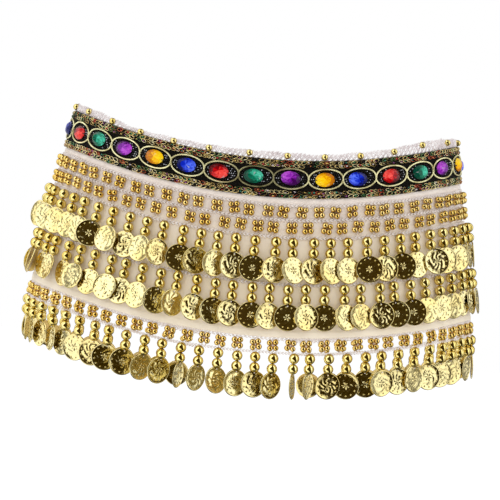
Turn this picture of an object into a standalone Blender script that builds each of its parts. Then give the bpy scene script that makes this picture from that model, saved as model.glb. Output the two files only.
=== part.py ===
"""Belly dance hip scarf, worn form: a knotted cloth band with jewelled ribbon, crochet and coins.

The band is a strip of cloth wrapped round the hips and tied at the centre back. Everything on it
follows the same wall, so each piece is made from the wall's own points, moved out or down.
The front faces -Y, +Z is up, and the origin is the centre of the waist opening, level with the
highest points of the top edge. Sizes are millimetres here and metres in the finished meshes.
"""

import math

import bmesh
import bpy
import numpy as np
from mathutils import Vector

for leftover in list(bpy.data.objects):
    bpy.data.objects.remove(leftover, do_unlink=True)

MM = 0.001

# The hip form: the hollow's half width and its depth, flare, sag and back opening.
TOP_HALF_WIDTH = 165.9
FLARE = 0.170             # growth of the half width for each millimetre of drop
DEPTH_RATIO = 0.662       # half depth over half width
FRONT_SAG = 28.8          # the strip rides up over the hips and sags between them
BACK_SAG = 38.0
TOP_HALF_GAP = 18.0       # half of the space between the strip's ends at the back
HEM_HALF_GAP = 42.0
HEM_WAVE = 0.9            # soft waves in the free part of the cloth
WAVE_COUNT = 9
WAVE_START = 118.0

# Drops below the top edge, measured down the front.
EDGING_END = 4.2
CLOTH_START = 4.5
RIBBON_START = 4.9
RIBBON_END = 36.0
CROCHET_START = 42.6
CROCHET_END = 69.2
CLOTH_HEM = 153.7
OPEN_ROW_START = 154.0
OPEN_ROW_END = 166.6

# Thicknesses and clearances.
CLOTH_WALL = 1.5
RIBBON_WALL = 1.2
SEAM = 0.35
FRINGE_CLEARANCE = 0.5

# Repeats along the strip.
MOTIFS = 29               # jewelled ovals, one of them at the centre front
COLUMNS = 2 * MOTIFS      # flats of the cloth wall, two for each oval
OPEN_ROW_RUNGS = 64

# Beads and coins.
BEAD_HALF = 3.5
BEAD_OUT = 4.5            # the strands' distance from the wall
COIN_HALF_WIDTH = 11.4
COIN_HALF_HEIGHT = 10.4
COIN_THICKNESS = 1.2
COIN_YAW = math.radians(13.0)


def half_width(drop):
    return TOP_HALF_WIDTH + FLARE * drop


def girth_table():
    """Angles from the front to the back, with the share of the half girth that each one reaches."""
    angles = np.linspace(0.0, math.pi, 721)
    steps = np.hypot(np.diff(np.sin(angles)), np.diff(DEPTH_RATIO * np.cos(angles)))
    reach = np.concatenate(([0.0], np.cumsum(steps)))
    return angles, reach / reach[-1], float(reach[-1])


ANGLES, REACH, HALF_GIRTH_PER_WIDTH = girth_table()


def half_gap(drop):
    """Half of the space between the strip's two ends at the centre back."""
    return TOP_HALF_GAP + (HEM_HALF_GAP - TOP_HALF_GAP) * drop / CLOTH_HEM


def half_length(drop):
    """Half of the strip's length at this drop, from the centre front to one end."""
    return HALF_GIRTH_PER_WIDTH * half_width(drop) - half_gap(drop)


def angle_at(along, drop):
    """Angle round the hips, 0 at the front, of a point this far along the strip."""
    share = along / (HALF_GIRTH_PER_WIDTH * half_width(drop))
    return math.copysign(float(np.interp(abs(share), REACH, ANGLES)), along)


def outward(angle):
    return Vector((DEPTH_RATIO * math.sin(angle), -math.cos(angle), 0.0)).normalized()


def wall_point(angle, drop, out=0.0):
    """A point on the cloth's outer face, moved out by some millimetres."""
    width = half_width(drop)
    sag = FRONT_SAG if math.cos(angle) > 0.0 else BACK_SAG
    fade = min(max((drop - WAVE_START) / (CLOTH_HEM - WAVE_START), 0.0), 1.0)
    wave = HEM_WAVE * fade * fade * math.sin(WAVE_COUNT * angle)
    seat = Vector((width * math.sin(angle),
                   -DEPTH_RATIO * width * math.cos(angle),
                   -drop - sag * math.cos(angle) ** 2))
    return seat + outward(angle) * (out + wave)


def strip_point(share, drop, out=0.0):
    """The same, placed by the share of the strip's half length, from -1 to 1."""
    return wall_point(angle_at(share * half_length(drop), drop), drop, out)


def material(name, colour, roughness, metallic=0.0):
    finish = bpy.data.materials.new(name)
    finish.use_nodes = True
    shader = finish.node_tree.nodes["Principled BSDF"]
    shader.inputs["Base Color"].default_value = (*colour, 1.0)
    shader.inputs["Roughness"].default_value = roughness
    shader.inputs["Metallic"].default_value = metallic
    finish.diffuse_color = (*colour, 1.0)
    return finish


def finish_object(name, points, faces, finish):
    """One named object from millimetre points, triangulated, with its faces pointing out."""
    mesh = bpy.data.meshes.new(name)
    mesh.from_pydata([tuple(point * MM) for point in points], [], faces)
    shape = bmesh.new()
    shape.from_mesh(mesh)
    bmesh.ops.triangulate(shape, faces=shape.faces[:])
    bmesh.ops.recalc_face_normals(shape, faces=shape.faces[:])
    shape.to_mesh(mesh)
    shape.free()
    mesh.materials.append(finish)
    piece = bpy.data.objects.new(name, mesh)
    bpy.context.scene.collection.objects.link(piece)
    return piece


def skin(sections):
    """Faces of a tube through equal closed sections, with both ends capped."""
    count = len(sections[0])
    points = [point for section in sections for point in section]
    faces = []
    for row in range(len(sections) - 1):
        for side in range(count):
            following = (side + 1) % count
            faces.append((row * count + side, row * count + following,
                          (row + 1) * count + following, (row + 1) * count + side))
    last = (len(sections) - 1) * count
    faces.append(tuple(range(count)))
    faces.append(tuple(last + side for side in range(count)))
    return points, faces


def strip_shares():
    return [2.0 * column / COLUMNS - 1.0 for column in range(COLUMNS + 1)]


def strip_along_wall(name, profile, finish):
    """A strip of constant section along the whole wall; the profile lists drop and out."""
    sections = []
    for share in strip_shares():
        sections.append([strip_point(share, drop, out) for drop, out in profile])
    return finish_object(name, *skin(sections), finish)


# ---------------------------------------------------------------- cloth band
# One strip of white cloth, wrapped round the hips, open at the top, the hem and the back.
CLOTH_ROWS = (CLOTH_START, 54.0, 104.0, CLOTH_HEM)


def cloth_band():
    outside = [(drop, 0.0) for drop in CLOTH_ROWS]
    inside = [(drop, -CLOTH_WALL) for drop in reversed(CLOTH_ROWS)]
    return strip_along_wall("cloth_band", outside + inside,
                            material("white_cloth", (0.80, 0.74, 0.71), 0.85))


# ---------------------------------------------------------------- top edging
# A twisted crochet cord worked along the top edge of the cloth.
EDGING_SIDES = 5


def top_edging():
    radius = 0.5 * EDGING_END
    profile = []
    for side in range(EDGING_SIDES):
        turn = 2.0 * math.pi * side / EDGING_SIDES
        profile.append((radius + radius * math.cos(turn),
                        radius * math.sin(turn) - 0.5 * CLOTH_WALL))
    return strip_along_wall("top_edging", profile,
                            material("white_cord", (0.82, 0.80, 0.75), 0.8))


# ---------------------------------------------------------------- jewelled ribbon
# A black ribbon with braid borders; each raised oval of cord holds a faceted stone.
OVAL_SIDES = 8
OVAL_RINGS = (
    # half length, half height, height over the ribbon
    (13.2, 7.9, 1.5),     # crest of the cord oval
    (8.6, 6.2, 0.7),      # foot of the stone
    (5.0, 3.4, 3.6),      # table of the stone
)


def ribbon():
    face_out = SEAM + RIBBON_WALL
    middle = 0.5 * (RIBBON_START + RIBBON_END)
    points = []
    for share in strip_shares():
        points.append(strip_point(share, RIBBON_START, face_out))
        points.append(strip_point(share, RIBBON_END, face_out))
        points.append(strip_point(share, RIBBON_END, SEAM))
        points.append(strip_point(share, RIBBON_START, SEAM))
    faces = [(0, 1, 2, 3)]
    for column in range(COLUMNS):
        near, far = 4 * column, 4 * (column + 1)
        for side in (1, 2, 3):
            following = (side + 1) % 4
            faces.append((near + side, near + following, far + following, far + side))
    last = 4 * COLUMNS
    faces.append((last, last + 1, last + 2, last + 3))

    for motif in range(MOTIFS):
        centre = 2.0 * (motif + 0.5) / MOTIFS - 1.0
        first = len(points)
        for half_long, half_high, height in OVAL_RINGS:
            for side in range(OVAL_SIDES):
                turn = 2.0 * math.pi * (side + 0.5) / OVAL_SIDES
                drop = middle + half_high * math.sin(turn)
                share = centre + half_long * math.cos(turn) / half_length(drop)
                points.append(strip_point(share, drop, face_out + height))
        for ring in range(len(OVAL_RINGS) - 1):
            for side in range(OVAL_SIDES):
                here = first + ring * OVAL_SIDES
                following = (side + 1) % OVAL_SIDES
                faces.append((here + side, here + following,
                              here + OVAL_SIDES + following, here + OVAL_SIDES + side))
        table = first + (len(OVAL_RINGS) - 1) * OVAL_SIDES
        faces.append(tuple(table + side for side in range(OVAL_SIDES)))
        left, mid, right = 8 * motif, 8 * motif + 4, 8 * motif + 8
        # the flat ribbon round the oval: its sides 0 to 7 start right of centre and run down
        faces.append((right, first + 0, right + 1))
        faces.append((right + 1, first + 0, first + 1))
        faces.append((right + 1, first + 1, mid + 1))
        faces.append((mid + 1, first + 1, first + 2))
        faces.append((mid + 1, first + 2, left + 1))
        faces.append((left + 1, first + 2, first + 3))
        faces.append((left + 1, first + 3, left))
        faces.append((left, first + 3, first + 4))
        faces.append((left, first + 4, first + 5))
        faces.append((left, first + 5, mid))
        faces.append((mid, first + 5, first + 6))
        faces.append((mid, first + 6, right))
        faces.append((right, first + 6, first + 7))
        faces.append((right, first + 7, first + 0))
    return finish_object("jewelled_ribbon", points, faces,
                         material("black_ribbon", (0.05, 0.045, 0.05), 0.6))


# ---------------------------------------------------------------- beaded crochet
# A crochet panel below the ribbon; its two ridges are rows of small gold beads.
CROCHET_PROFILE = (
    # drop, height over the cloth
    (CROCHET_START, 1.2),
    (48.4, 4.2),
    (54.9, 1.4),
    (61.9, 4.2),
    (CROCHET_END, 1.2),
    (CROCHET_END, SEAM),
    (CROCHET_START, SEAM),
)


def beaded_crochet():
    return strip_along_wall("beaded_crochet", CROCHET_PROFILE,
                            material("beaded_crochet", (0.74, 0.60, 0.36), 0.4, 0.5))


# ---------------------------------------------------------------- coin fringes
# Each fringe is a crochet cord sewn along the wall, with strings of two beads and a coin.
FRINGES = (
    # name, strands, cord top, cord foot, first bead, second bead, coin, hangs free
    ("coin_fringe_upper", 57, 69.7, 71.2, 73.9, 82.7, 97.4, False),
    ("coin_fringe_middle", 59, 108.2, 110.0, 112.9, 121.9, 136.5, False),
    ("coin_fringe_lower", 59, 167.0, 168.6, 170.9, 179.5, 193.5, True),
)
CORD_THICKNESS = 2.4
ROOT_HALF = 2.0
NECK_HALF = 0.9


def strand_rings(angle, foot, bead_one, bead_two, coin, free, root_out):
    """The rings of one strand below its root: beads, neck and a six-sided coin."""
    along = Vector((-outward(angle).y, outward(angle).x, 0.0))
    out = outward(angle)
    coin_along = along * math.cos(COIN_YAW) + out * math.sin(COIN_YAW)
    coin_out = out * math.cos(COIN_YAW) - along * math.sin(COIN_YAW)
    half_coin = 0.5 * COIN_THICKNESS
    neck = 0.5 * (bead_one + bead_two)
    levels = (
        # drop, half width, half thickness, turned like the coin
        (bead_one, BEAD_HALF, BEAD_HALF, False),
        (neck, NECK_HALF, NECK_HALF, False),
        (bead_two, BEAD_HALF, BEAD_HALF, False),
        (coin - COIN_HALF_HEIGHT, 0.5 * COIN_HALF_WIDTH, half_coin, True),
        (coin, COIN_HALF_WIDTH, half_coin, True),
        (coin + COIN_HALF_HEIGHT, 0.5 * COIN_HALF_WIDTH, half_coin, True),
    )
    rings = []
    for drop, wide, thick, turned in levels:
        if free:
            centre = wall_point(angle, foot, root_out) - Vector((0.0, 0.0, drop - foot))
        else:
            centre = wall_point(angle, drop, BEAD_OUT)
        side = coin_along if turned else along
        face = coin_out if turned else out
        rings.append([centre - side * wide - face * thick, centre + side * wide - face * thick,
                      centre + side * wide + face * thick, centre - side * wide + face * thick])
    return rings


def coin_fringe(name, strands, top, foot, bead_one, bead_two, coin, free, finish):
    """A three-sided cord with four-sided strands growing out of its lower face."""
    cord_in = FRINGE_CLEARANCE if not free else -0.5 * (CLOTH_WALL + CORD_THICKNESS)
    cord_out = cord_in + CORD_THICKNESS
    reach = half_length(foot)
    pitch = 2.0 * reach / strands
    places = []
    for strand in range(strands):
        centre = -reach + pitch * (strand + 0.5)
        places.extend((centre - ROOT_HALF, centre + ROOT_HALF))
    columns = [-reach] + places + [reach]
    points = []
    for along in columns:
        angle = angle_at(along, foot)
        points.append(wall_point(angle, top, 0.5 * (cord_in + cord_out)))
        points.append(wall_point(angle, foot, cord_in))
        points.append(wall_point(angle, foot, cord_out))
    faces = [(0, 1, 2)]
    for column in range(len(columns) - 1):
        near, far = 3 * column, 3 * (column + 1)
        faces.append((near, far, far + 1, near + 1))
        faces.append((near, near + 2, far + 2, far))
        is_root = column % 2 == 1
        if not is_root:
            faces.append((near + 1, far + 1, far + 2, near + 2))
            continue
        middle = 0.5 * (columns[column] + columns[column + 1])
        rings = strand_rings(angle_at(middle, foot), foot, bead_one, bead_two, coin, free,
                             0.5 * (cord_in + cord_out))
        ring = [near + 1, far + 1, far + 2, near + 2]
        for corners in rings:
            first = len(points)
            points.extend(corners)
            lower = [first, first + 1, first + 2, first + 3]
            for side in range(4):
                following = (side + 1) % 4
                faces.append((ring[side], ring[following], lower[following], lower[side]))
            ring = lower
        faces.append(tuple(ring))
    last = 3 * (len(columns) - 1)
    faces.append((last, last + 1, last + 2))
    return finish_object(name, points, faces, finish)


# ---------------------------------------------------------------- open crochet row
# A see-through row below the hem: bead clusters between two crochet lines, gaps cut through.
RUNG_SHARE = 0.62         # a cluster's part of the pitch; the rest is the gap
BAR_HEIGHT = 1.4
OPEN_ROW_WALL = 2.0


def open_crochet_half(name, first_rung, last_rung, finish):
    """Half of the row, a ladder from one rung to another with a gap between each two."""
    inner = -0.5 * (CLOTH_WALL + OPEN_ROW_WALL)
    drops = (OPEN_ROW_START, OPEN_ROW_START + BAR_HEIGHT, OPEN_ROW_END - BAR_HEIGHT, OPEN_ROW_END)
    pitch = 2.0 / OPEN_ROW_RUNGS
    half_rung = 0.5 * RUNG_SHARE * pitch
    shares = []
    for rung in range(first_rung, last_rung):
        centre = -1.0 + pitch * (rung + 0.5)
        shares.extend((centre - half_rung, centre + half_rung))
    seam_share = 0.5 * SEAM / half_length(OPEN_ROW_START)
    if first_rung == 0:
        shares[0] = -1.0
        shares.append(-seam_share)
    else:
        shares[-1] = 1.0
        shares.insert(0, seam_share)
    points = []
    for share in shares:
        for out in (inner, inner + OPEN_ROW_WALL):
            points.extend(strip_point(share, drop, out) for drop in drops)
    faces = [(0, 1, 5, 4), (1, 2, 6, 5), (2, 3, 7, 6)]
    started_by_rung = first_rung == 0
    for column in range(len(shares) - 1):
        near, far = 8 * column, 8 * (column + 1)
        is_rung = (column % 2 == 0) == started_by_rung
        is_seam_piece = (column == len(shares) - 2) if started_by_rung else (column == 0)
        faces.append((near, near + 4, far + 4, far))
        faces.append((near + 3, far + 3, far + 7, near + 7))
        if is_rung or is_seam_piece:
            for level in range(3):
                faces.append((near + level, far + level, far + level + 1, near + level + 1))
                faces.append((near + 4 + level, near + 5 + level, far + 5 + level, far + 4 + level))
            continue
        for level in (0, 2):
            faces.append((near + level, far + level, far + level + 1, near + level + 1))
            faces.append((near + 4 + level, near + 5 + level, far + 5 + level, far + 4 + level))
        faces.append((near + 1, far + 1, far + 5, near + 5))
        faces.append((near + 2, near + 6, far + 6, far + 2))
        faces.append((near + 1, near + 5, near + 6, near + 2))
        faces.append((far + 1, far + 2, far + 6, far + 5))
    last = 8 * (len(shares) - 1)
    faces.extend([(last, last + 4, last + 5, last + 1), (last + 1, last + 5, last + 6, last + 2),
                  (last + 2, last + 6, last + 7, last + 3)])
    return finish_object(name, points, faces, finish)


# ---------------------------------------------------------------- back ties
# Two cloth ties join the strip's ends at the centre back, in one knot with two loose tails.
KNOT_DROP = 18.0
KNOT_OUT = 1.5
KNOT_SECTIONS = (
    # x, half height, half thickness
    (-8.2, 3.8, 2.6),
    (-4.8, 7.2, 5.2),
    (0.0, 8.4, 6.0),
    (4.8, 7.2, 5.2),
    (8.2, 3.8, 2.6),
)
KNOT_SIDES = 8
TIE_OUT = 0.375
TIE_SEAM_TOP = 7.0        # where a tie meets the end of the band
TIE_SEAM_FOOT = 29.0
TIE_SEAM_HALF_THICKNESS = 0.75
TIE_GATHERS = (
    # x, upper drop, lower drop, half thickness
    (13.8, 12.5, 24.0, 1.3),
    (8.6, 14.8, 21.2, 1.9),
)
LEFT_TAIL_SECTIONS = (
    # drop, x, distance out, half width, half thickness
    (26.05, -3.4, 2.0, 3.0, 1.7),
    (42.0, -7.5, 5.0, 6.2, 1.0),
    (74.0, -11.0, 6.0, 7.6, 0.8),
    (113.0, -13.0, 5.4, 8.2, 0.75),
)
RIGHT_TAIL_SECTIONS = (
    (26.05, 3.4, 2.2, 3.0, 1.7),
    (40.0, 8.4, 5.2, 6.0, 1.0),
    (68.0, 10.6, 6.6, 7.4, 0.8),
    (101.0, 11.6, 6.2, 8.2, 0.75),
)


def back_point(x, drop, out):
    """A point by the centre back: sideways, down from the top edge, and out from the wall."""
    return Vector((x, DEPTH_RATIO * half_width(drop) + out, -drop - BACK_SAG))


def tie_knot(finish):
    sections = []
    for x, half_high, half_thick in KNOT_SECTIONS:
        section = []
        for side in range(KNOT_SIDES):
            turn = 2.0 * math.pi * (side + 0.5) / KNOT_SIDES
            section.append(back_point(x, KNOT_DROP + half_high * math.sin(turn),
                                      KNOT_OUT + half_thick * math.cos(turn)))
        sections.append(section)
    return finish_object("tie_knot", *skin(sections), finish)


def tie_band(name, side, finish):
    """The gathered stretch of a tie, from the seam at the band's end to the knot."""
    seam = (half_gap(TIE_SEAM_TOP) - 2.0 * SEAM, TIE_SEAM_TOP,
            half_gap(TIE_SEAM_FOOT) - 2.0 * SEAM, TIE_SEAM_FOOT, TIE_SEAM_HALF_THICKNESS)
    rows = [seam] + [(x, upper, x, lower, half_thick) for x, upper, lower, half_thick in TIE_GATHERS]
    sections = []
    for upper_x, upper, lower_x, lower, half_thick in rows:
        sections.append([back_point(side * upper_x, upper, TIE_OUT - half_thick),
                         back_point(side * lower_x, lower, TIE_OUT - half_thick),
                         back_point(side * lower_x, lower, TIE_OUT + half_thick),
                         back_point(side * upper_x, upper, TIE_OUT + half_thick)])
    return finish_object(name, *skin(sections), finish)


def tie_tail(name, rows, finish):
    sections = []
    for drop, x, out, half_wide, half_thick in rows:
        sections.append([back_point(x - half_wide, drop, out - half_thick),
                         back_point(x + half_wide, drop, out - half_thick),
                         back_point(x + half_wide, drop, out + half_thick),
                         back_point(x - half_wide, drop, out + half_thick)])
    return finish_object(name, *skin(sections), finish)


cloth_band()
top_edging()
ribbon()
beaded_crochet()

gold = material("gold_coins", (0.83, 0.62, 0.22), 0.25, 1.0)
for fringe in FRINGES:
    coin_fringe(*fringe, gold)

open_crochet = material("open_crochet", (0.78, 0.66, 0.42), 0.5, 0.4)
open_crochet_half("open_crochet_left", 0, OPEN_ROW_RUNGS // 2, open_crochet)
open_crochet_half("open_crochet_right", OPEN_ROW_RUNGS // 2, OPEN_ROW_RUNGS, open_crochet)

tie_cloth = material("tie_cloth", (0.80, 0.74, 0.71), 0.85)
tie_knot(tie_cloth)
tie_band("tie_band_left", -1.0, tie_cloth)
tie_band("tie_band_right", 1.0, tie_cloth)
tie_tail("tie_tail_left", LEFT_TAIL_SECTIONS, tie_cloth)
tie_tail("tie_tail_right", RIGHT_TAIL_SECTIONS, tie_cloth)
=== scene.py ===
import math
from collections import namedtuple
from functools import partial

import bpy
import numpy as np
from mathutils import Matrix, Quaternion


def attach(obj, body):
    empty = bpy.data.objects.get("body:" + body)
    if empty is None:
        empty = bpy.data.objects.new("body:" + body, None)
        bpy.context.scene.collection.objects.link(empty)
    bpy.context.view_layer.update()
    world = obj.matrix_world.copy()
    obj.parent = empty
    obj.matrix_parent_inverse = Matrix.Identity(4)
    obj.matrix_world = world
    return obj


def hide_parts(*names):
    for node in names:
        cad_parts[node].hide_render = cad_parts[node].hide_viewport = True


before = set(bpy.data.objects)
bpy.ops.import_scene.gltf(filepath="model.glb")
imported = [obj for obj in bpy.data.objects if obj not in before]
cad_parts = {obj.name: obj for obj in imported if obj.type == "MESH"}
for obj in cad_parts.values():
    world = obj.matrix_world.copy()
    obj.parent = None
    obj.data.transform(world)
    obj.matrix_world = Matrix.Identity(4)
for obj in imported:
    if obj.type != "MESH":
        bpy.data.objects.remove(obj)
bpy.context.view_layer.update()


# ------------------------------------------------------------------ the cloth band
# A strip of soft off-white cotton, wrapped round the hips and open at the centre back. It is cut
# with a slight flare, folded over at the hem and stitched, and everything else is sewn onto it.
# Sizes are in millimetres, drops are measured down from the waist, and left is as seen from the front.
MM = 0.001
TOP_HALF_WIDTH = 165.9
FLARE = 0.170
DEPTH_RATIO = 0.662
FRONT_SAG = 28.8
BACK_SAG = 38.0
TOP_HALF_GAP = 18.0
HEM_HALF_GAP = 42.0
CLOTH_TOP = 4.5
CLOTH_HEM = 153.7
CLOTH_WALL = 1.5
CLOTH_SINK = 0.35
HEM_FOLD = 6.5
HEM_WAVE = 0.9
WAVE_COUNT = 9
WAVE_START = 118.0
PUFF_DROP = 39.6
PUFF_REACH = 2.4
PUFF_HEIGHT = 0.55
RUFFLE_HEIGHT = 0.26
PUCKER_DROP = 150.5
PUCKER_REACH = 3.4
PUCKER_HEIGHT = 0.22
FOLD_HEIGHT = 0.35
FOLD_GROOVE = 0.7
FOLD_SOFTNESS = 0.35
INNER_SHARE = 0.6   # of the outer face's relief
INNER_SINK = 0.3
WHITE_CLOTH = (0.90, 0.80, 0.72)
CLOTH_TONES = ((0.3, (0.82, 0.715, 0.63)), (0.55, WHITE_CLOTH), (0.8, (0.93, 0.855, 0.78)))
# Painted bounce light: the cloth's outer face turns cream lower down, as if lit warm by the gold coins.
PAINTED_BOUNCE_CREAM = (0.98, 0.865, 0.69)
BOUNCE_START = 55.0
BOUNCE_FULL = 85.0
WEAVE_MM = 0.9
CLOTH_COLUMNS = 261
CLOTH_ROWS = (
    # from drop, to drop, rows of points
    (CLOTH_TOP, 36.0, 9),
    (37.5, 44.0, 6),
    (48.0, 140.0, 27),
    (142.0, CLOTH_HEM, 12),
)
CLOTH_CREASES = (
    # share of the half length, drop, length, width, lean, depth (mm)
    (-0.43, 136.0, 30.0, 4.0, 0.30, -0.7),
    (-0.34, 118.0, 24.0, 5.0, -0.20, -0.6),
    (-0.21, 141.0, 18.0, 3.5, 0.15, 0.6),
    (-0.13, 112.0, 34.0, 6.0, 0.05, -0.7),
    (-0.05, 147.0, 12.0, 3.0, -0.10, -0.6),
    (0.02, 92.0, 30.0, 6.0, 0.12, -0.6),
    (0.08, 143.0, 16.0, 4.0, 0.22, 0.6),
    (0.17, 120.0, 36.0, 5.0, -0.14, -0.8),
    (0.27, 146.0, 14.0, 3.5, 0.10, -0.7),
    (0.36, 128.0, 22.0, 4.5, -0.30, 0.6),
    (0.49, 138.0, 30.0, 5.0, 0.20, -0.8),
    (0.63, 112.0, 40.0, 7.0, -0.22, -0.9),
    (0.78, 134.0, 34.0, 6.0, 0.18, -0.9),
    (0.90, 100.0, 44.0, 7.0, -0.35, -1.0),
    (-0.55, 124.0, 32.0, 6.0, -0.25, -0.8),
    (-0.69, 142.0, 22.0, 5.0, 0.20, 0.7),
    (-0.81, 116.0, 42.0, 7.0, 0.28, -0.9),
    (-0.93, 132.0, 40.0, 6.0, -0.30, -1.0),
)


def half_width(drop):
    """Half of the hips' width at this drop."""
    return TOP_HALF_WIDTH + FLARE * drop


def half_gap(drop):
    """Half of the open gap at the back, along the strip."""
    return TOP_HALF_GAP + (HEM_HALF_GAP - TOP_HALF_GAP) * drop / CLOTH_HEM


ANGLES = np.linspace(0.0, math.pi, 721)
GIRTH_STEPS = np.hypot(np.diff(np.sin(ANGLES)), np.diff(DEPTH_RATIO * np.cos(ANGLES)))
REACH = np.concatenate(([0.0], np.cumsum(GIRTH_STEPS)))
HALF_GIRTH_PER_WIDTH = REACH[-1]


def half_length(drop):
    """Half of the strip's length at this drop, from the centre front to one end."""
    return HALF_GIRTH_PER_WIDTH * half_width(drop) - half_gap(drop)


def angle_at(along, drop):
    """Angle round the hips, 0 at the front, of a point this far along the strip."""
    share = np.abs(along) / half_width(drop)
    return np.copysign(np.interp(share, REACH, ANGLES), along)


def outward(angle):
    """The level way out of the hips at this angle."""
    normal = np.stack([DEPTH_RATIO * np.sin(angle), -np.cos(angle), 0.0 * angle], axis=-1)
    return normal / np.linalg.norm(normal, axis=-1, keepdims=True)


def hip_wall(along, drop, out=0.0):
    """Points on the cloth's outer face, in millimetres: along the strip, down it, and out from it."""
    along, drop, out = np.broadcast_arrays(np.float64(along), np.float64(drop), np.float64(out))
    angle = angle_at(along, drop)
    width = half_width(drop)
    sag = np.where(np.cos(angle) > 0.0, FRONT_SAG, BACK_SAG)
    fade = np.clip((drop - WAVE_START) / (CLOTH_HEM - WAVE_START), 0.0, 1.0)
    wave = HEM_WAVE * fade ** 2 * np.sin(WAVE_COUNT * angle)
    seat = np.stack([width * np.sin(angle), -DEPTH_RATIO * width * np.cos(angle),
                     -drop - sag * np.cos(angle) ** 2], axis=-1)
    return seat + outward(angle) * (out + wave)[..., None]


def sheet_faces(rows, columns, wraps=False):
    """Triangles over a grid of points; the columns may wrap round into a tube."""
    near = np.arange(columns if wraps else columns - 1)
    far = (near + 1) % columns
    base = np.arange(rows - 1)[:, None] * columns
    a, b, c, d = base + near, base + far, base + columns + far, base + columns + near
    return np.concatenate([np.stack([a, b, c], -1).reshape(-1, 3),
                           np.stack([a, c, d], -1).reshape(-1, 3)])


def faces_out(points, faces):
    """The same faces, turned so that a closed shape's faces point outwards."""
    corner = points[faces]
    volume = np.einsum("ij,ij->i", corner[:, 0], np.cross(corner[:, 1], corner[:, 2])).sum()
    return faces if volume > 0.0 else faces[:, ::-1]


def put_together(shapes):
    """Several (points, faces) shapes as one."""
    points, faces, start = [], [], 0
    for shape_points, shape_faces in shapes:
        points.append(shape_points)
        faces.append(shape_faces + start)
        start += len(shape_points)
    return np.concatenate(points), np.concatenate(faces)


def new_piece(name, shape, finish, smooth=True, uv=None, tint=None):
    """A mesh object from millimetre points, riding on the garment; tints go to points or corners."""
    points, faces = shape
    mesh = bpy.data.meshes.new(name)
    mesh.from_pydata((points * MM).tolist(), [], faces.tolist())
    mesh.polygons.foreach_set("use_smooth", np.full(len(faces), smooth))
    if uv is not None:
        layer = mesh.uv_layers.new(name="cut")
        layer.data.foreach_set("uv", uv[faces.ravel()].ravel())
    if tint is not None:
        domain = "POINT" if len(tint) == len(points) else "CORNER"
        colours = mesh.color_attributes.new("tint", "FLOAT_COLOR", domain)
        colours.data.foreach_set("color", np.column_stack([tint, np.ones(len(tint))]).ravel())
    mesh.materials.append(finish)
    mesh.update()
    piece = bpy.data.objects.new(name, mesh)
    bpy.context.scene.collection.objects.link(piece)
    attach(piece, "root")
    return piece


def strip_shell(alongs, drops, outs, inner_outs):
    """A closed strip with the co-ordinates of its cut: an outer face, and an inner one behind it."""
    outer = hip_wall(alongs, drops, outs)
    inner = hip_wall(alongs, drops, inner_outs)
    rings = np.concatenate([outer, inner[:, ::-1]], axis=1)
    columns, around = rings.shape[:2]
    upper = np.arange(around // 2 - 1)
    lower = around - 1 - upper
    end = np.concatenate([np.stack([upper, upper + 1, lower], -1),
                          np.stack([upper + 1, lower - 1, lower], -1)])
    faces = [sheet_faces(columns, around, wraps=True), end[:, ::-1], end + (columns - 1) * around]
    points = rings.reshape(-1, 3)
    along_uv = np.concatenate([alongs, alongs[:, ::-1]], axis=1)
    # The inner face's drops count negative, which keeps the cotton's painted bounce light off it.
    drop_uv = np.concatenate([drops, -drops[:, ::-1]], axis=1)
    uv = np.stack([along_uv, drop_uv], -1).reshape(-1, 2) * MM
    return (points, faces_out(points, np.concatenate(faces))), uv


def strip_grid(columns, drops):
    """Places along and down the strip, following its flare, as two grids."""
    shares = np.linspace(-1.0, 1.0, columns)[:, None]
    drops = np.asarray(drops, float)[None, :]
    return shares * half_length(drops), np.broadcast_to(drops, (columns, drops.shape[1]))


def bell(distance, reach):
    """1 in the middle, falling softly to nothing past the reach."""
    return np.exp(-(distance / reach) ** 2)


def cloth_relief(alongs, drops):
    """How far the cloth's outer face stands out: a puffed band, creases, puckers and the hem fold."""
    shares = alongs / half_length(drops)
    ruffle = np.sin(alongs / 1.7 + 1.8 * np.sin(alongs / 11.0) + 0.35 * drops)
    relief = (PUFF_HEIGHT + RUFFLE_HEIGHT * ruffle) * bell(drops - PUFF_DROP, PUFF_REACH)
    for share, drop, length, width, lean, depth in CLOTH_CREASES:
        down = drops - drop
        across = (shares - share) * half_length(drops) - lean * down
        relief = relief + depth * np.exp(-(across / width) ** 2 - (2.0 * down / length) ** 2)
    pucker = np.sin(alongs / 1.9 + 2.0 * np.sin(alongs / 17.0)) * bell(drops - PUCKER_DROP, PUCKER_REACH)
    past_fold = drops - (CLOTH_HEM - HEM_FOLD)
    fold = FOLD_HEIGHT / (1.0 + np.exp(-past_fold / FOLD_SOFTNESS))
    groove = -FOLD_HEIGHT * bell(past_fold, FOLD_GROOVE)
    return relief + PUCKER_HEIGHT * pucker + fold + groove


def new_finish(name, colour, roughness, metallic=0.0, **sockets):
    """A material with its shader, and its node tree to build on."""
    finish = bpy.data.materials.new(name)
    finish.use_nodes = True
    shader = finish.node_tree.nodes["Principled BSDF"]
    shader.inputs["Base Color"].default_value = (*colour, 1.0)
    shader.inputs["Roughness"].default_value = roughness
    shader.inputs["Metallic"].default_value = metallic
    for socket, value in sockets.items():
        shader.inputs[socket.replace("_", " ")].default_value = value
    return finish, finish.node_tree, shader


def add_node(tree, kind, values=(), **settings):
    """A shader node with its settings, and its inputs by name."""
    node = tree.nodes.new(kind)
    for setting, value in settings.items():
        setattr(node, setting, value)
    for socket, value in dict(values).items():
        if isinstance(value, bpy.types.NodeSocket):
            tree.links.new(value, node.inputs[socket])
        else:
            node.inputs[socket].default_value = value
    return node


def ramp(tree, factor, stops):
    """A colour ramp over a factor; the stops are (place, colour) pairs."""
    node = add_node(tree, "ShaderNodeValToRGB", {"Fac": factor})
    elements = node.color_ramp.elements
    while len(elements) < len(stops):
        elements.new(1.0)
    for element, (place, colour) in zip(elements, stops):
        element.position = place
        element.color = (*colour, 1.0)
    return node.outputs["Color"]


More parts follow.
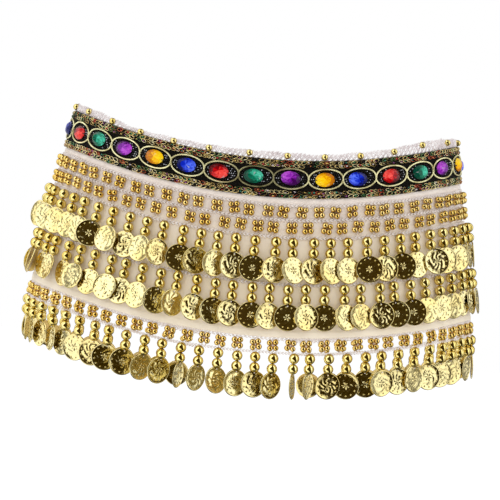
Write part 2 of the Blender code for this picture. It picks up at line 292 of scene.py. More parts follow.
def node_math(tree, operation, *values):
    """One sum over sockets or numbers."""
    return add_node(tree, "ShaderNodeMath", dict(enumerate(values)), operation=operation).outputs[0]


def noise(tree, place, scale, detail, distortion=0.0):
    """Soft random patches or fine specks, by their scale."""
    values = {"Vector": place, "Scale": scale, "Detail": detail, "Distortion": distortion}
    return add_node(tree, "ShaderNodeTexNoise", values).outputs["Fac"]


def woven(tree, thread_mm, thread_ratio=1.0):
    """Height of a plain weave, and the co-ordinates of the cloth's own cut that lay it out."""
    cut = add_node(tree, "ShaderNodeUVMap", uv_map="cut").outputs["UV"]
    parts = add_node(tree, "ShaderNodeSeparateXYZ", {"Vector": cut}).outputs
    turn = 2.0 * math.pi / (thread_mm * MM)
    warp = node_math(tree, "SINE", node_math(tree, "MULTIPLY", parts["X"], turn))
    weft = node_math(tree, "SINE", node_math(tree, "MULTIPLY", parts["Y"], turn * thread_ratio))
    return node_math(tree, "MULTIPLY", warp, weft), cut


def bump(tree, shader, height, distance_mm, strength=1.0, under=None):
    """Fine relief on a finish, laid over another relief where one is given."""
    node = add_node(tree, "ShaderNodeBump", {"Height": height, "Strength": strength,
                                             "Distance": distance_mm * MM})
    if under is not None:
        tree.links.new(under, node.inputs["Normal"])
    tree.links.new(node.outputs["Normal"], shader.inputs["Normal"])
    return node.outputs["Normal"]


def white_cotton(name):
    """Soft plain-woven cotton: matt, slightly pink, with a faint nap and slubs, and turning cream low down
    with painted warm light bounced from the gold coins.
    """
    finish, tree, shader = new_finish(name, WHITE_CLOTH, 0.85, Sheen_Weight=0.25, Sheen_Roughness=0.5)
    weave, cut = woven(tree, WEAVE_MM)
    slubs = noise(tree, cut, 120.0, 5.0)
    down = add_node(tree, "ShaderNodeSeparateXYZ", {"Vector": cut}).outputs["Y"]
    # Painted bounce light: from this drop down the cloth turns cream, as if lit warm by the gold coins.
    lower = add_node(tree, "ShaderNodeMapRange", {"Value": down, "From Min": BOUNCE_START * MM,
                                                  "From Max": BOUNCE_FULL * MM})
    painted_bounce = add_node(tree, "ShaderNodeMixRGB", {"Fac": lower.outputs["Result"],
                                                "Color1": ramp(tree, slubs, CLOTH_TONES),
                                                "Color2": (*PAINTED_BOUNCE_CREAM, 1.0)})
    tree.links.new(painted_bounce.outputs["Color"], shader.inputs["Base Color"])
    under = bump(tree, shader, slubs, 0.25, 0.5)
    bump(tree, shader, weave, 0.06, 0.8, under)
    return finish


cotton = white_cotton("white_cotton")
cloth_drops = np.concatenate([np.linspace(*rows) for rows in CLOTH_ROWS])
cloth_alongs, cloth_grid_drops = strip_grid(CLOTH_COLUMNS, cloth_drops)
relief = cloth_relief(cloth_alongs, cloth_grid_drops)
cloth_shape, cloth_uv = strip_shell(cloth_alongs, cloth_grid_drops, relief - CLOTH_SINK,
                                    -CLOTH_WALL + INNER_SHARE * relief - INNER_SINK)
cloth = new_piece("cloth", cloth_shape, cotton, uv=cloth_uv)
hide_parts("cloth_band")


# ------------------------------------------------------------------ the crochet top edge
# White cotton yarn crocheted along the raw top edge: a row of leaning stitches with a chain along
# their tops, uneven in height. A small gold-plated bead is caught in it about every 32 mm.
EDGE_YARN = (0.89, 0.83, 0.82)
EDGE_YARN_SHADE = (0.74, 0.66, 0.66)
EDGE_FOOT = 5.1
EDGE_CHAIN_DROP = 0.6
EDGE_OUT = -0.35
EDGE_LIFT = 0.3
EDGE_PHASE = 1   # of the chain's wander
EDGE_LIFTS = (
    # middle, reach, height: the edge lies low over the left hip and stands high over the right one
    (-95.0, 50.0, -1.5),
    (143.0, 36.0, 3.4),
)
EDGE_STITCH_PITCH = 1.5
EDGE_STITCH_RADIUS = 0.62
EDGE_STITCH_LEAN = 4.2
EDGE_UNEVEN = 1.6
EDGE_MIDDLE = 2.0
EDGE_START_ROOM = 1.0
EDGE_END_ROOM = 4.0
STITCH_SHARES = np.array((0.0, 0.35, 0.7, 1.0))
CHAIN_PITCH = 3.4
CHAIN_HALF_HEIGHT = 0.62
CHAIN_LEAN = 24.0   # degrees
CHAIN_END = 1.2
CHAIN_WANDER = 0.3
EDGE_BEAD_PITCH = 31.7
EDGE_BEAD_START = -13.5
EDGE_BEAD_RADIUS = 2.75
EDGE_BEAD_HOLE = 0.5
EDGE_BEAD_WANDER = 2.0
EDGE_BEAD_DROP = 1.9
EDGE_BEAD_RISE = 0.9   # share of the edge's rise
EDGE_BEAD_OUT = 1.1
GOLD = (0.91, 0.775, 0.32)
DEEP_GOLD = (0.87, 0.68, 0.21)
UP = np.array([0.0, 0.0, 1.0])


def wall_axes(along, drop, out=0.0, hangs=False):
    """Places on the wall with their directions: right, up and out, for small parts sewn there."""
    along, drop, out = np.broadcast_arrays(np.float64(along), np.float64(drop), np.float64(out))
    place = hip_wall(along, drop, out)
    right = hip_wall(along + 0.5, drop, out) - hip_wall(along - 0.5, drop, out)
    right /= np.linalg.norm(right, axis=-1, keepdims=True)
    if hangs:
        up = np.broadcast_to(UP, right.shape)
    else:
        angle = angle_at(along, drop)
        slope = outward(angle) * -FLARE * np.hypot(np.sin(angle), DEPTH_RATIO * np.cos(angle))[..., None]
        up = UP + slope
    out_way = np.cross(right, up)
    out_way /= np.linalg.norm(out_way, axis=-1, keepdims=True)
    up = np.cross(out_way, right)
    return place, np.stack([right, up, out_way], axis=-2)


def full_turn(count, shift=0.0):
    """Even steps once round, in radians."""
    return 2.0 * math.pi * (np.arange(count) + shift) / count


def closed_rings(rings):
    """A closed shape with flat ends through equal rings of points."""
    rows, around = rings.shape[:2]
    fan = np.arange(1, around - 1)
    start = np.stack([0 * fan, fan + 1, fan], -1)
    end = (rows - 1) * around + np.stack([0 * fan, fan, fan + 1], -1)
    points = rings.reshape(-1, 3)
    return points, faces_out(points, np.concatenate([sheet_faces(rows, around, wraps=True), start, end]))


def thread_rings(path, side_a, side_b, radius, sides):
    """Rings of points round a path; the two side directions span each ring."""
    turns = full_turn(sides)
    return path[:, None] + radius * (np.cos(turns)[None, :, None] * side_a[:, None]
                                     + np.sin(turns)[None, :, None] * side_b[:, None])


def tube(path, side_a, side_b, radius, sides):
    """A round thread or cord along a path."""
    return closed_rings(thread_rings(path, side_a, side_b, radius, sides))


def stamp(shape, places, axes, size=1.0):
    """Copies of a small shape at many places, each by its own axes; each may have its own points."""
    points, faces = shape
    size = np.broadcast_to(size, len(places))[:, None, None]
    copies = np.matmul(points, axes) * size + places[:, None]
    starts = np.arange(len(places))[:, None, None] * points.shape[-2]
    return copies.reshape(-1, 3), (faces[None] + starts).reshape(-1, 3)


def turned(profile, sides):
    """A shape turned on the local up axis; the profile runs from top to bottom as (radius, height)."""
    turns = full_turn(sides)
    radii, heights = np.array(profile).T
    return closed_rings(np.stack([radii[:, None] * np.cos(turns), np.repeat(heights[:, None], sides, 1),
                                  radii[:, None] * np.sin(turns)], -1))


def round_bead(radius, hole, rings, sides):
    """A drilled ball with its hole running up and down."""
    tilt = math.asin(hole / radius)
    slopes = np.linspace(tilt, math.pi - tilt, rings)
    profile = [(radius * math.sin(slope), radius * math.cos(slope)) for slope in slopes]
    mouth, depth = 0.45 * hole, radius * math.cos(tilt) - 0.5 * hole
    return turned([(mouth, depth), *profile, (mouth, -depth)], sides)


def on_piece(tree):
    """Co-ordinates fixed to the piece itself, in metres."""
    return add_node(tree, "ShaderNodeTexCoord").outputs["Object"]


def yarn_finish(name, colour, shade):
    """Matt spun cotton yarn with fine fibres lying along its twist."""
    finish, tree, shader = new_finish(name, colour, 0.9, Sheen_Weight=0.2, Sheen_Roughness=0.5)
    place = on_piece(tree)
    tones = ramp(tree, noise(tree, place, 90.0, 2.0), ((0.35, shade), (0.62, colour)))
    tree.links.new(tones, shader.inputs["Base Color"])
    bump(tree, shader, noise(tree, place, 1400.0, 3.0), 0.15, 0.7)
    return finish


def plated_gold(name, colour, deep, roughness):
    """Bright gold plating over plastic: mirror-like, with faint dents."""
    finish, tree, shader = new_finish(name, colour, roughness, 1.0, Specular_Tint=(0.30, 0.18, 0.04, 1.0))
    place = on_piece(tree)
    tones = ramp(tree, noise(tree, place, 60.0, 1.0), ((0.35, deep), (0.65, colour)))
    tree.links.new(tones, shader.inputs["Base Color"])
    bump(tree, shader, noise(tree, place, 260.0, 2.0), 0.03, 0.6)
    return finish


def edge_rise(along):
    """How far the crochet stands above the cloth's top edge, uneven as handwork is."""
    waves = 0.5 * np.cos(along / 28.0) + 0.4 * np.sin(along / 13.0 + 1.0) + 0.35 * np.sin(along / 3.7)
    left, right = (height * bell(along - middle, reach) for middle, reach, height in EDGE_LIFTS)
    return EDGE_LIFT + waves + left + right


def spun(axes, angle):
    """The same axes after a turn about their way out, in radians."""
    cos, sin = math.cos(angle), math.sin(angle)
    return np.array([[cos, sin, 0.0], [-sin, cos, 0.0], [0.0, 0.0, 1.0]]) @ axes


def chain_line(drop, out, phase, rise=None, size=1.0):
    """A crocheted chain along the strip: two rows of small stitches leaning apart, like a braid."""
    reach = half_length(drop) - CHAIN_END
    alongs = np.arange(-reach, reach, CHAIN_PITCH * size)
    drops = drop + CHAIN_WANDER * (np.sin(alongs / 23.0 + phase) + 0.6 * np.sin(alongs / 9.1 + 2.3 * phase))
    if rise is not None:
        drops = drops - rise(alongs)
    rows = []
    for side in (-1.0, 1.0):
        places, axes = wall_axes(alongs, drops + side * CHAIN_HALF_HEIGHT * size, out)
        leaning = spun(axes, math.radians(-90.0 - side * CHAIN_LEAN))
        rows.append(stamp(chain_stitch, places, leaning, size))
    return put_together(rows)


chain_stitch = turned(((0.22, 1.85), (0.62, 0.95), (0.68, -0.75), (0.25, -1.85)), 5)
edge_shapes = [chain_line(EDGE_CHAIN_DROP, EDGE_OUT, EDGE_PHASE, rise=edge_rise)]
edge_reach = half_length(EDGE_MIDDLE)
chance = np.random.default_rng(3)
stitches = np.arange(-edge_reach + EDGE_START_ROOM, edge_reach - EDGE_END_ROOM, EDGE_STITCH_PITCH)
for number, along in enumerate(stitches):
    top = EDGE_CHAIN_DROP - edge_rise(along) - EDGE_UNEVEN * chance.random() ** 3
    drops = EDGE_FOOT + (top - EDGE_FOOT) * STITCH_SHARES
    bow = EDGE_OUT + (0.25 if number % 2 else -0.1) * np.sin(math.pi * STITCH_SHARES)
    lean = EDGE_STITCH_LEAN * (1.0 if number % 3 else -0.7)
    path, axes = wall_axes(along + lean * (STITCH_SHARES - 0.5), drops, bow)
    edge_shapes.append(tube(path, axes[:, 0], axes[:, 2], EDGE_STITCH_RADIUS, 4))
edge_yarn = yarn_finish("edge_yarn", EDGE_YARN, EDGE_YARN_SHADE)
edging = new_piece("crochet_edge", put_together(edge_shapes), edge_yarn)
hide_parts("top_edging")

bead_gold = plated_gold("bead_gold", GOLD, DEEP_GOLD, 0.08)
edge_along = EDGE_BEAD_START + EDGE_BEAD_PITCH * np.arange(-12, 14)
edge_along = edge_along + chance.uniform(-EDGE_BEAD_WANDER, EDGE_BEAD_WANDER, len(edge_along))
edge_bead_drops = EDGE_BEAD_DROP - EDGE_BEAD_RISE * edge_rise(edge_along)
places, axes = wall_axes(edge_along, edge_bead_drops, EDGE_BEAD_OUT)
edge_beads = stamp(round_bead(EDGE_BEAD_RADIUS, EDGE_BEAD_HOLE, 8, 14), places, axes)
new_piece("edge_beads", edge_beads, bead_gold)


# ------------------------------------------------------------------ the jewelled ribbon
# A black jacquard ribbon sewn below the top edge. A multicoloured metallic braid runs along each
# of its borders, and two pale gold cords cross between them to form a chain of ovals.
RIBBON_TOP = 4.9
RIBBON_FOOT = 36.7
RIBBON_SEAT = 0.3
RIBBON_WALL = 1.0
RIBBON_SELVEDGE = 0.5
SELVEDGE_DIP = 0.4
RIBBON_COLUMNS = 291
RIBBON_ROWS = (6.5, 34.5, 8)   # from drop, to drop, rows of points
RIB_MM = 0.7
RIBBON_FACE = RIBBON_SEAT + RIBBON_WALL
BRAID_PITCH = 3.9
BRAID_END = 3.5
LOOP_HALF_LONG = 2.5
LOOP_RADIUS = 0.38
LOOP_LIFT = 0.5
LOOP_WANDER = 0.35
LOOP_UNEVEN = 0.2
LOOP_SIZES = (0.88, 1.08)
TUFT_LIFT = 0.2
TUFT_WANDER = 0.4
TUFT_UNEVEN = 0.6
TUFT_SIZES = (0.8, 1.3)
TUFT_STRETCH = np.array((1.5, 0.85, 0.8))
BRAID_ROWS = (
    # distance from the ribbon's edge, half height of a loop, lean of its ends
    (1.75, 1.45, 0.85),
    (4.75, 1.35, -0.85),
)
BRAID_THREADS = (
    (0.95, 0.80, 0.40), (1.0, 0.90, 0.54), (0.85, 0.66, 0.28), (0.62, 0.44, 0.17), (0.05, 0.04, 0.02),
    (0.55, 0.12, 0.06), (0.95, 0.78, 0.38), (0.22, 0.15, 0.06), (0.16, 0.28, 0.11), (0.03, 0.02, 0.02),
)
BRAID_TUFTS = (
    (0.55, 0.04, 0.05), (0.07, 0.30, 0.12), (0.02, 0.02, 0.02), (0.06, 0.28, 0.20), (0.02, 0.02, 0.02),
    (0.85, 0.60, 0.16), (0.62, 0.22, 0.08), (0.02, 0.02, 0.02), (0.75, 0.66, 0.66), (0.32, 0.10, 0.28),
    (0.02, 0.02, 0.02), (0.55, 0.40, 0.12),
)


def jacquard(name):
    """Black rayon ribbon with a fine rib and a faint grey twill in it."""
    finish, tree, shader = new_finish(name, (0.007, 0.006, 0.004), 0.6, Specular_IOR_Level=0.05)
    weave, cut = woven(tree, RIB_MM, 0.5)
    flecks = noise(tree, cut, 1500.0, 2.0)
    tones = ramp(tree, flecks, ((0.5, (0.004, 0.003, 0.002)), (0.78, (0.028, 0.024, 0.018))))
    tree.links.new(tones, shader.inputs["Base Color"])
    bump(tree, shader, weave, 0.12, 1.0)
    return finish


def tinted(name, roughness, metallic, grain_mm=0.1, **sockets):
    """A finish whose colour comes from the piece's own tints, with a fine grain."""
    finish, tree, shader = new_finish(name, (0.5, 0.5, 0.5), roughness, metallic, **sockets)
    tint = add_node(tree, "ShaderNodeVertexColor", layer_name="tint")
    tree.links.new(tint.outputs["Color"], shader.inputs["Base Color"])
    bump(tree, shader, noise(tree, on_piece(tree), 1800.0, 2.0), grain_mm, 0.7)
    return finish


ribbon_drops = np.concatenate([[RIBBON_TOP, RIBBON_TOP + RIBBON_SELVEDGE], np.linspace(*RIBBON_ROWS),
                               [RIBBON_FOOT - RIBBON_SELVEDGE, RIBBON_FOOT]])
ribbon_alongs, ribbon_grid_drops = strip_grid(RIBBON_COLUMNS, ribbon_drops)
ribbon_edge = np.minimum(ribbon_grid_drops - RIBBON_TOP, RIBBON_FOOT - ribbon_grid_drops)
ribbon_out = RIBBON_FACE - SELVEDGE_DIP * bell(ribbon_edge, RIBBON_SELVEDGE)
ribbon_shape, ribbon_uv = strip_shell(ribbon_alongs, ribbon_grid_drops, ribbon_out, RIBBON_SEAT)
ribbon = new_piece("ribbon", ribbon_shape, jacquard("black_jacquard"), uv=ribbon_uv)
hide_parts("jewelled_ribbon")


def eye_loop(half_high, lean, steps=10, sides=3):
    """A small flat ring of thread, pointed at both ends and leaning like a braid's turn."""
    turn = full_turn(steps)
    x = LOOP_HALF_LONG * np.cos(turn) + lean * np.sin(turn)
    y = half_high * np.sin(turn) * np.abs(np.sin(turn)) ** 0.25
    path = np.stack([x, y, 0.35 * np.cos(2.0 * turn)], -1)
    flow = np.roll(path, -1, axis=0) - np.roll(path, 1, axis=0)
    flow /= np.linalg.norm(flow, axis=1, keepdims=True)
    way_out = np.broadcast_to(UP, path.shape)
    points = thread_rings(path, np.cross(flow, way_out), way_out, LOOP_RADIUS, sides).reshape(-1, 3)
    faces = sheet_faces(steps + 1, sides, wraps=True) % len(points)
    return points, faces_out(points, faces)


def drawn_tints(colours, places, shape, chance):
    """A colour drawn from the list for each copy of a shape, given to all of its points."""
    drawn = np.array(colours)[chance.integers(0, len(colours), len(places))]
    return np.repeat(drawn, len(shape[0]), axis=0)


chance = np.random.default_rng(11)
braid_parts, braid_tints = [], []
tuft_parts, tuft_tints = [], []
tuft = turned(((0.35, 0.62), (0.78, 0.0), (0.35, -0.62)), 5)
for border_edge, down in ((RIBBON_TOP, 1.0), (RIBBON_FOOT, -1.0)):
    for edge_distance, loop_half_high, lean in BRAID_ROWS:
        drop = border_edge + down * edge_distance
        reach = half_length(drop) - BRAID_END
        alongs = np.arange(-reach, reach, BRAID_PITCH) + (0.0 if lean > 0 else 0.5 * BRAID_PITCH)
        alongs = alongs + chance.uniform(-LOOP_WANDER, LOOP_WANDER, len(alongs))
        drops = drop + chance.uniform(-LOOP_UNEVEN, LOOP_UNEVEN, len(alongs))
        places, axes = wall_axes(alongs, drops, RIBBON_FACE + LOOP_LIFT)
        loop = eye_loop(loop_half_high, lean)
        braid_parts.append(stamp(loop, places, axes, chance.uniform(*LOOP_SIZES, len(places))))
        braid_tints.append(drawn_tints(BRAID_THREADS, places, loop, chance))
        tufts = alongs + chance.uniform(-TUFT_WANDER, TUFT_WANDER, len(alongs))
        drops = drop + chance.uniform(-TUFT_UNEVEN, TUFT_UNEVEN, len(tufts))
        places, axes = wall_axes(tufts, drops, RIBBON_FACE + TUFT_LIFT)
        stretched = axes * TUFT_STRETCH[:, None]
        tuft_parts.append(stamp(tuft, places, stretched, chance.uniform(*TUFT_SIZES, len(places))))
        tuft_tints.append(drawn_tints(BRAID_TUFTS, places, tuft, chance))
new_piece("braid_loops", put_together(braid_parts), tinted("metallic_thread", 0.26, 0.9),
          tint=np.concatenate(braid_tints))
new_piece("braid_tufts", put_together(tuft_parts), tinted("glitter_tufts", 0.45, 0.45),
          tint=np.concatenate(tuft_tints))


# ------------------------------------------------------------------ cord ovals on the ribbon
# Two pale gold twisted cords, couched down along the ribbon. They cross over and under each other
# every 29 mm, so that each pair of crossings frames an oval.
MOTIFS = 29
MOTIF_DRIFT = 0.0120
RIBBON_MIDDLE = 20.45
OVAL_HALF_HEIGHT = 8.5
OVAL_CORD_RADIUS = 0.68
OVAL_STEPS = 26
CORD_LIFT = 0.45
CORD_SIDES = 7
BRIGHT_CORD = (1.0, 0.95, 0.52)
# Painted dark reflection: the cords turn dark olive across the centre front, where they mirror the studio's
# dark gap.
DARK_REFLECTION_CORD = (0.24, 0.22, 0.10)
DARK_REFLECTION_MIDDLE = -2.0
DARK_REFLECTION_REACH = 33.0


def drifted(share):
    """The chain of ovals is sewn a little to the left of the middle."""
    return share - MOTIF_DRIFT * (1.0 - share ** 2)


def oval_cord(first_side):
    """One cord: over the first oval, under the next, lifted at every second crossing."""
    alongs, drops, outs = [], [], []
    pitch = 2.0 / MOTIFS
    turn = np.linspace(0.0, math.pi, OVAL_STEPS, endpoint=False)
    for motif in range(MOTIFS):
        side = first_side if motif % 2 == 0 else -first_side
        share = drifted(-1.0 + pitch * (motif + 0.5 - 0.5 * np.cos(turn)))
        drop = RIBBON_MIDDLE - side * OVAL_HALF_HEIGHT * np.sin(turn) ** 0.9
        alongs.append(share * half_length(drop))
        drops.append(drop)
        outs.append(RIBBON_FACE + OVAL_CORD_RADIUS + CORD_LIFT * first_side * np.cos(turn) ** 6)
    return np.concatenate(alongs), np.concatenate(drops), np.concatenate(outs)


def surface_tube(alongs, drops, outs, radius, sides):
    """A tube that lies on the wall along a line of places."""
    path = hip_wall(alongs, drops, outs)
    flow = np.gradient(path, axis=0)
    flow /= np.linalg.norm(flow, axis=1, keepdims=True)
    side_b = outward(angle_at(alongs, drops))
    side_a = np.cross(flow, side_b)
    side_a /= np.linalg.norm(side_a, axis=1, keepdims=True)
    return tube(path, side_a, np.cross(side_a, flow), radius, sides)


def twisted_gold_cord(name):
    """Pale gold metallic thread wound round a core, ridged by its twist, with a painted dark reflection
    across the centre front.
    """
    finish, tree, shader = new_finish(name, BRIGHT_CORD, 0.22, 0.4)
    place = on_piece(tree)
    tones = ramp(tree, noise(tree, place, 110.0, 2.0), ((0.38, (0.60, 0.56, 0.48)), (0.55, (1.0, 1.0, 1.0))))
    # The tint holds the painted dark reflection across the centre front.
    painted_reflection = add_node(tree, "ShaderNodeVertexColor", layer_name="tint").outputs["Color"]
    reflection_tinted = add_node(tree, "ShaderNodeMixRGB", {"Fac": 1.0, "Color1": tones, "Color2": painted_reflection},
                    blend_type="MULTIPLY")
    tree.links.new(reflection_tinted.outputs["Color"], shader.inputs["Base Color"])
    ridges = add_node(tree, "ShaderNodeTexWave", {"Vector": place, "Scale": 330.0, "Distortion": 1.0},
                      bands_direction="DIAGONAL")
    bump(tree, shader, ridges.outputs["Fac"], 0.10, 0.9)
    return finish


def between(one, other, share):
    """The colour this share of the way from one to the other."""
    one, other = np.array(one), np.array(other)
    return one + (other - one) * share


cord_shapes, cord_tints = [], []
for side in (1.0, -1.0):
    alongs, drops, outs = oval_cord(side)
    cord_shapes.append(surface_tube(alongs, drops, outs, OVAL_CORD_RADIUS, CORD_SIDES))
    # Painted dark reflection: the tint darkens towards the centre front.
    tints = between(BRIGHT_CORD, DARK_REFLECTION_CORD, bell(alongs - DARK_REFLECTION_MIDDLE, DARK_REFLECTION_REACH)[:, None])
    cord_tints.append(np.repeat(tints, CORD_SIDES, axis=0))
new_piece("oval_cords", put_together(cord_shapes), twisted_gold_cord("pale_gold_cord"),
          tint=np.concatenate(cord_tints))


# ------------------------------------------------------------------ stones and seed beads
# Each oval holds a faceted acrylic stone of 17 by 12 mm, sewn through a hole at either end, on a
# ground of tiny dark glass beads. Five colours follow each other round the band.
STONE_HALF_LONG = 8.5
STONE_HALF_HIGH = 6.0
STONE_HEIGHT = 3.4
STONE_SIDES = 16
STONE_COLOURS = (
    # dark, middle and bright tone of one stone's facets: painted shade, own colour and painted highlight
    ((0.002, 0.060, 0.034), (0.004, 0.200, 0.110), (0.080, 0.600, 0.400)),   # green
    ((0.050, 0.002, 0.080), (0.220, 0.008, 0.370), (0.520, 0.080, 0.680)),   # purple
    ((0.550, 0.170, 0.000), (0.960, 0.470, 0.002), (1.000, 0.700, 0.010)),   # yellow
    ((0.002, 0.005, 0.110), (0.005, 0.024, 0.560), (0.090, 0.170, 0.970)),   # blue
    ((0.110, 0.001, 0.003), (0.600, 0.003, 0.006), (0.980, 0.090, 0.070)),   # red
)
STONE_SHEEN = (0.42, 0.44, 0.46)
STONE_SHIFT = -1.3
STONE_WANDER = 1.0
STONE_UNEVEN = 0.5
STONE_LIFT = 0.1
STONE_SLANT = 7.0   # degrees
SEED_PITCH = 1.75
SEED_RADIUS = 0.62
SEED_LIFT = 0.35
SEED_ROWS = range(-3, 4)
SEED_ROW_PITCH = 1.05   # times the pitch along the row
SEED_COLUMNS = np.arange(-8, 9)
SEED_ROOM_LONG = 0.5
SEED_ROOM_HIGH = 0.4
SEED_FIELD_HALF_LONG = 12.6
SEED_FIELD_HALF_HIGH = 7.0
# Dark glass tones, and two pale greys given to some whole beads at random as painted highlights.
SEED_TONES_AND_HIGHLIGHTS = (
    (0.01, 0.01, 0.012), (0.02, 0.02, 0.025), (0.04, 0.04, 0.045), (0.40, 0.42, 0.46), (0.55, 0.56, 0.60),
)
STITCH_RADIUS = 0.34
STITCH_INSIDE = 1.4
STITCH_OUTSIDE = 1.2
STITCH_RISES = RIBBON_FACE + 0.15 + np.array((1.75, 1.9, 1.55, 0.9, 0.1))


def fan_faces(start, middle, sides):
    """Triangles from each side of a ring, whose first point is start, to a middle point."""
    side = np.arange(sides)
    return np.stack([start + side, start + (side + 1) % sides, np.full(sides, middle)], -1)


def cut_stone():
    """An oval stone: girdle, two rows of crown facets and a flat table, for flat shading."""
    levels = (
        # share of the outline, height, turned by half a facet
        (0.97, 0.0, 0.0),
        (1.0, 0.9, 0.0),
        (0.80, 2.2, 0.5),
        (0.56, STONE_HEIGHT, 0.0),
    )
    rings = []
    for share, height, shift in levels:
        turn = full_turn(STONE_SIDES, shift)
        rings.append(np.stack([share * STONE_HALF_LONG * np.cos(turn),
                               share * STONE_HALF_HIGH * np.sin(turn), 0.0 * turn + height], -1))
    points = np.concatenate(rings + [[[0.0, 0.0, STONE_HEIGHT + 0.12]], [[0.0, 0.0, 0.0]]])
    count = len(levels) * STONE_SIDES
    faces = np.concatenate([sheet_faces(len(levels), STONE_SIDES, wraps=True),
                            fan_faces(count - STONE_SIDES, count, STONE_SIDES),
                            fan_faces(0, count + 1, STONE_SIDES)[:, ::-1]])
    return points, faces_out(points, faces)


def painted_facet_light(points, faces, tones, chance):
    """A tint for each facet, with light and shade painted in: bright on the lit side and in the middle, dark
    on the other side, and a few painted glints.
    """
    middle = points[faces].mean(axis=1)
    way = chance.uniform(-0.9, 0.9) + (math.pi if chance.random() < 0.35 else 0.0)
    across, down = middle[:, 0] / STONE_HALF_LONG, middle[:, 1] / STONE_HALF_HIGH
    lean = across * math.cos(way) + down * math.sin(way)
    inner = 1.0 - np.clip(across ** 2 + down ** 2, 0.0, 1.0)
    shine = 0.02 + 0.58 * inner + 0.95 * lean + chance.uniform(-0.28, 0.28, len(faces))
    shine = np.clip(shine, 0.0, 1.0)[:, None]
    dark, mid, bright = tones
    tints = np.where(shine < 0.5, between(dark, mid, shine / 0.5), between(mid, bright, (shine - 0.5) / 0.5))
    flash = (chance.random(len(faces)) < 0.015)[:, None] * chance.uniform(0.15, 0.6, len(faces))[:, None]
    return between(tints, STONE_SHEEN, flash)


chance = np.random.default_rng(29)
stone_points, stone_faces = cut_stone()
stone_parts, stone_tints, seed_places, thread_places = [], [], [], []
for number in np.arange(MOTIFS) - MOTIFS // 2:
    centre = drifted(2.0 * number / MOTIFS) * half_length(RIBBON_MIDDLE)
    shift = STONE_SHIFT + chance.uniform(-STONE_WANDER, STONE_WANDER)
    drop = RIBBON_MIDDLE + chance.uniform(-STONE_UNEVEN, STONE_UNEVEN)
    place, axes = wall_axes(centre + shift, drop, RIBBON_FACE + STONE_LIFT)
    slant = math.radians(chance.uniform(-STONE_SLANT, STONE_SLANT))
    stone_parts.append((stone_points @ spun(axes, slant) + place, stone_faces))
    # Painted light and shade on each stone's facets.
    tones = painted_facet_light(stone_points, stone_faces, STONE_COLOURS[number % len(STONE_COLOURS)], chance)
    stone_tints.append(np.repeat(tones, 3, axis=0))
    for row in SEED_ROWS:
        x = SEED_COLUMNS * SEED_PITCH + (0.5 * SEED_PITCH if row % 2 else 0.0)
        y = np.full_like(x, row * SEED_PITCH * SEED_ROW_PITCH)
        inside = (x / SEED_FIELD_HALF_LONG) ** 2 + (y / SEED_FIELD_HALF_HIGH) ** 2 < 1.0
        across = (x - shift) / (STONE_HALF_LONG + SEED_ROOM_LONG)
        down = y / (STONE_HALF_HIGH + SEED_ROOM_HIGH)
        keep = inside & (across ** 2 + down ** 2 > 1.0)
        seed_places.append(np.stack([centre + x[keep], RIBBON_MIDDLE - y[keep]], -1))
    thread_places.append((centre + shift, slant))
acrylic = tinted("cut_acrylic", 0.08, 0.0, 0.0, Specular_IOR_Level=0.12, Coat_Weight=0.2,
                 Coat_Roughness=0.03)
new_piece("stones", put_together(stone_parts), acrylic,
          smooth=False, tint=np.concatenate(stone_tints))

seed_places = np.concatenate(seed_places)
places, axes = wall_axes(seed_places[:, 0], seed_places[:, 1], RIBBON_FACE + SEED_LIFT)
seed = turned(((0.28, 0.45), (SEED_RADIUS, 0.0), (0.28, -0.45)), 5)
seed_tints = drawn_tints(SEED_TONES_AND_HIGHLIGHTS, places, seed, chance)
new_piece("seed_beads", stamp(seed, places, axes), tinted("black_glass_beads", 0.12, 0.2, 0.0),
          tint=seed_tints)

stitch_parts = []
for centre, slant in thread_places:
    for end in (-1.0, 1.0):
        reach = np.linspace(STONE_HALF_LONG - STITCH_INSIDE, STONE_HALF_LONG + STITCH_OUTSIDE, 5) * end
        path = hip_wall(centre + reach, RIBBON_MIDDLE - reach * math.sin(slant), STITCH_RISES)
        side_b = outward(angle_at(centre + reach, RIBBON_MIDDLE))
        stitch_parts.append(tube(path, np.broadcast_to(UP, path.shape), side_b, STITCH_RADIUS, 5))
black_thread = yarn_finish("black_thread", (0.02, 0.02, 0.02), (0.01, 0.01, 0.01))
new_piece("stone_stitches", put_together(stitch_parts), black_thread)


# ------------------------------------------------------------------ two rows of beaded crochet
# Crocheted with beige cotton: small gold beads in square clusters of four, each on two posts, with a dark
# brown knot in its middle as painted shade between the beads. The rows lie on the cloth, with a white chain
# above each.
CHAIN_LINES = (
    # drop, distance from the cloth
    (42.9, 0.9),
    (55.0, 0.9),
)
CLUSTER_ROWS = (
    # drop, clusters, drops that its posts join
    (48.4, 60, 43.4, 54.4),
    (61.6, 61, 55.2, 67.6),
)
CLUSTER_HALF = 2.4
CLUSTER_OUT = 2.8
CLUSTER_END_ROOM = 1.0
CLUSTER_WANDER = 1.3
CLUSTER_UNEVEN = 0.5
CLUSTER_SLANT = 0.22   # radians
CLUSTER_BEAD_WANDER = 0.2
KNOT_SINK = 1.0
POST_RADIUS = 0.38
POST_SINK = 0.2
POST_FOOT_OUT = 0.6
POST_STEPS = np.linspace(0.0, 1.0, 7)
SMALL_BEAD_RADIUS = 2.5
SMALL_BEAD_HOLE = 0.6
SMALL_BEAD_SIZES = (0.95, 1.05)
SMALL_GOLD = (0.93, 0.71, 0.27)
DEEP_SMALL_GOLD = (0.84, 0.58, 0.15)
BEIGE = (0.78, 0.62, 0.50)
BEIGE_SHADE = (0.66, 0.49, 0.36)
# Painted shade: dark brown for the knots where the four beads of a cluster shade each other.
SHADE_KNOT_BROWN = (0.32, 0.20, 0.09)
SHADE_KNOT_DARK_BROWN = (0.20, 0.12, 0.05)
YARN_WHITE = (0.89, 0.82, 0.785)
YARN_SHADE = (0.80, 0.72, 0.68)


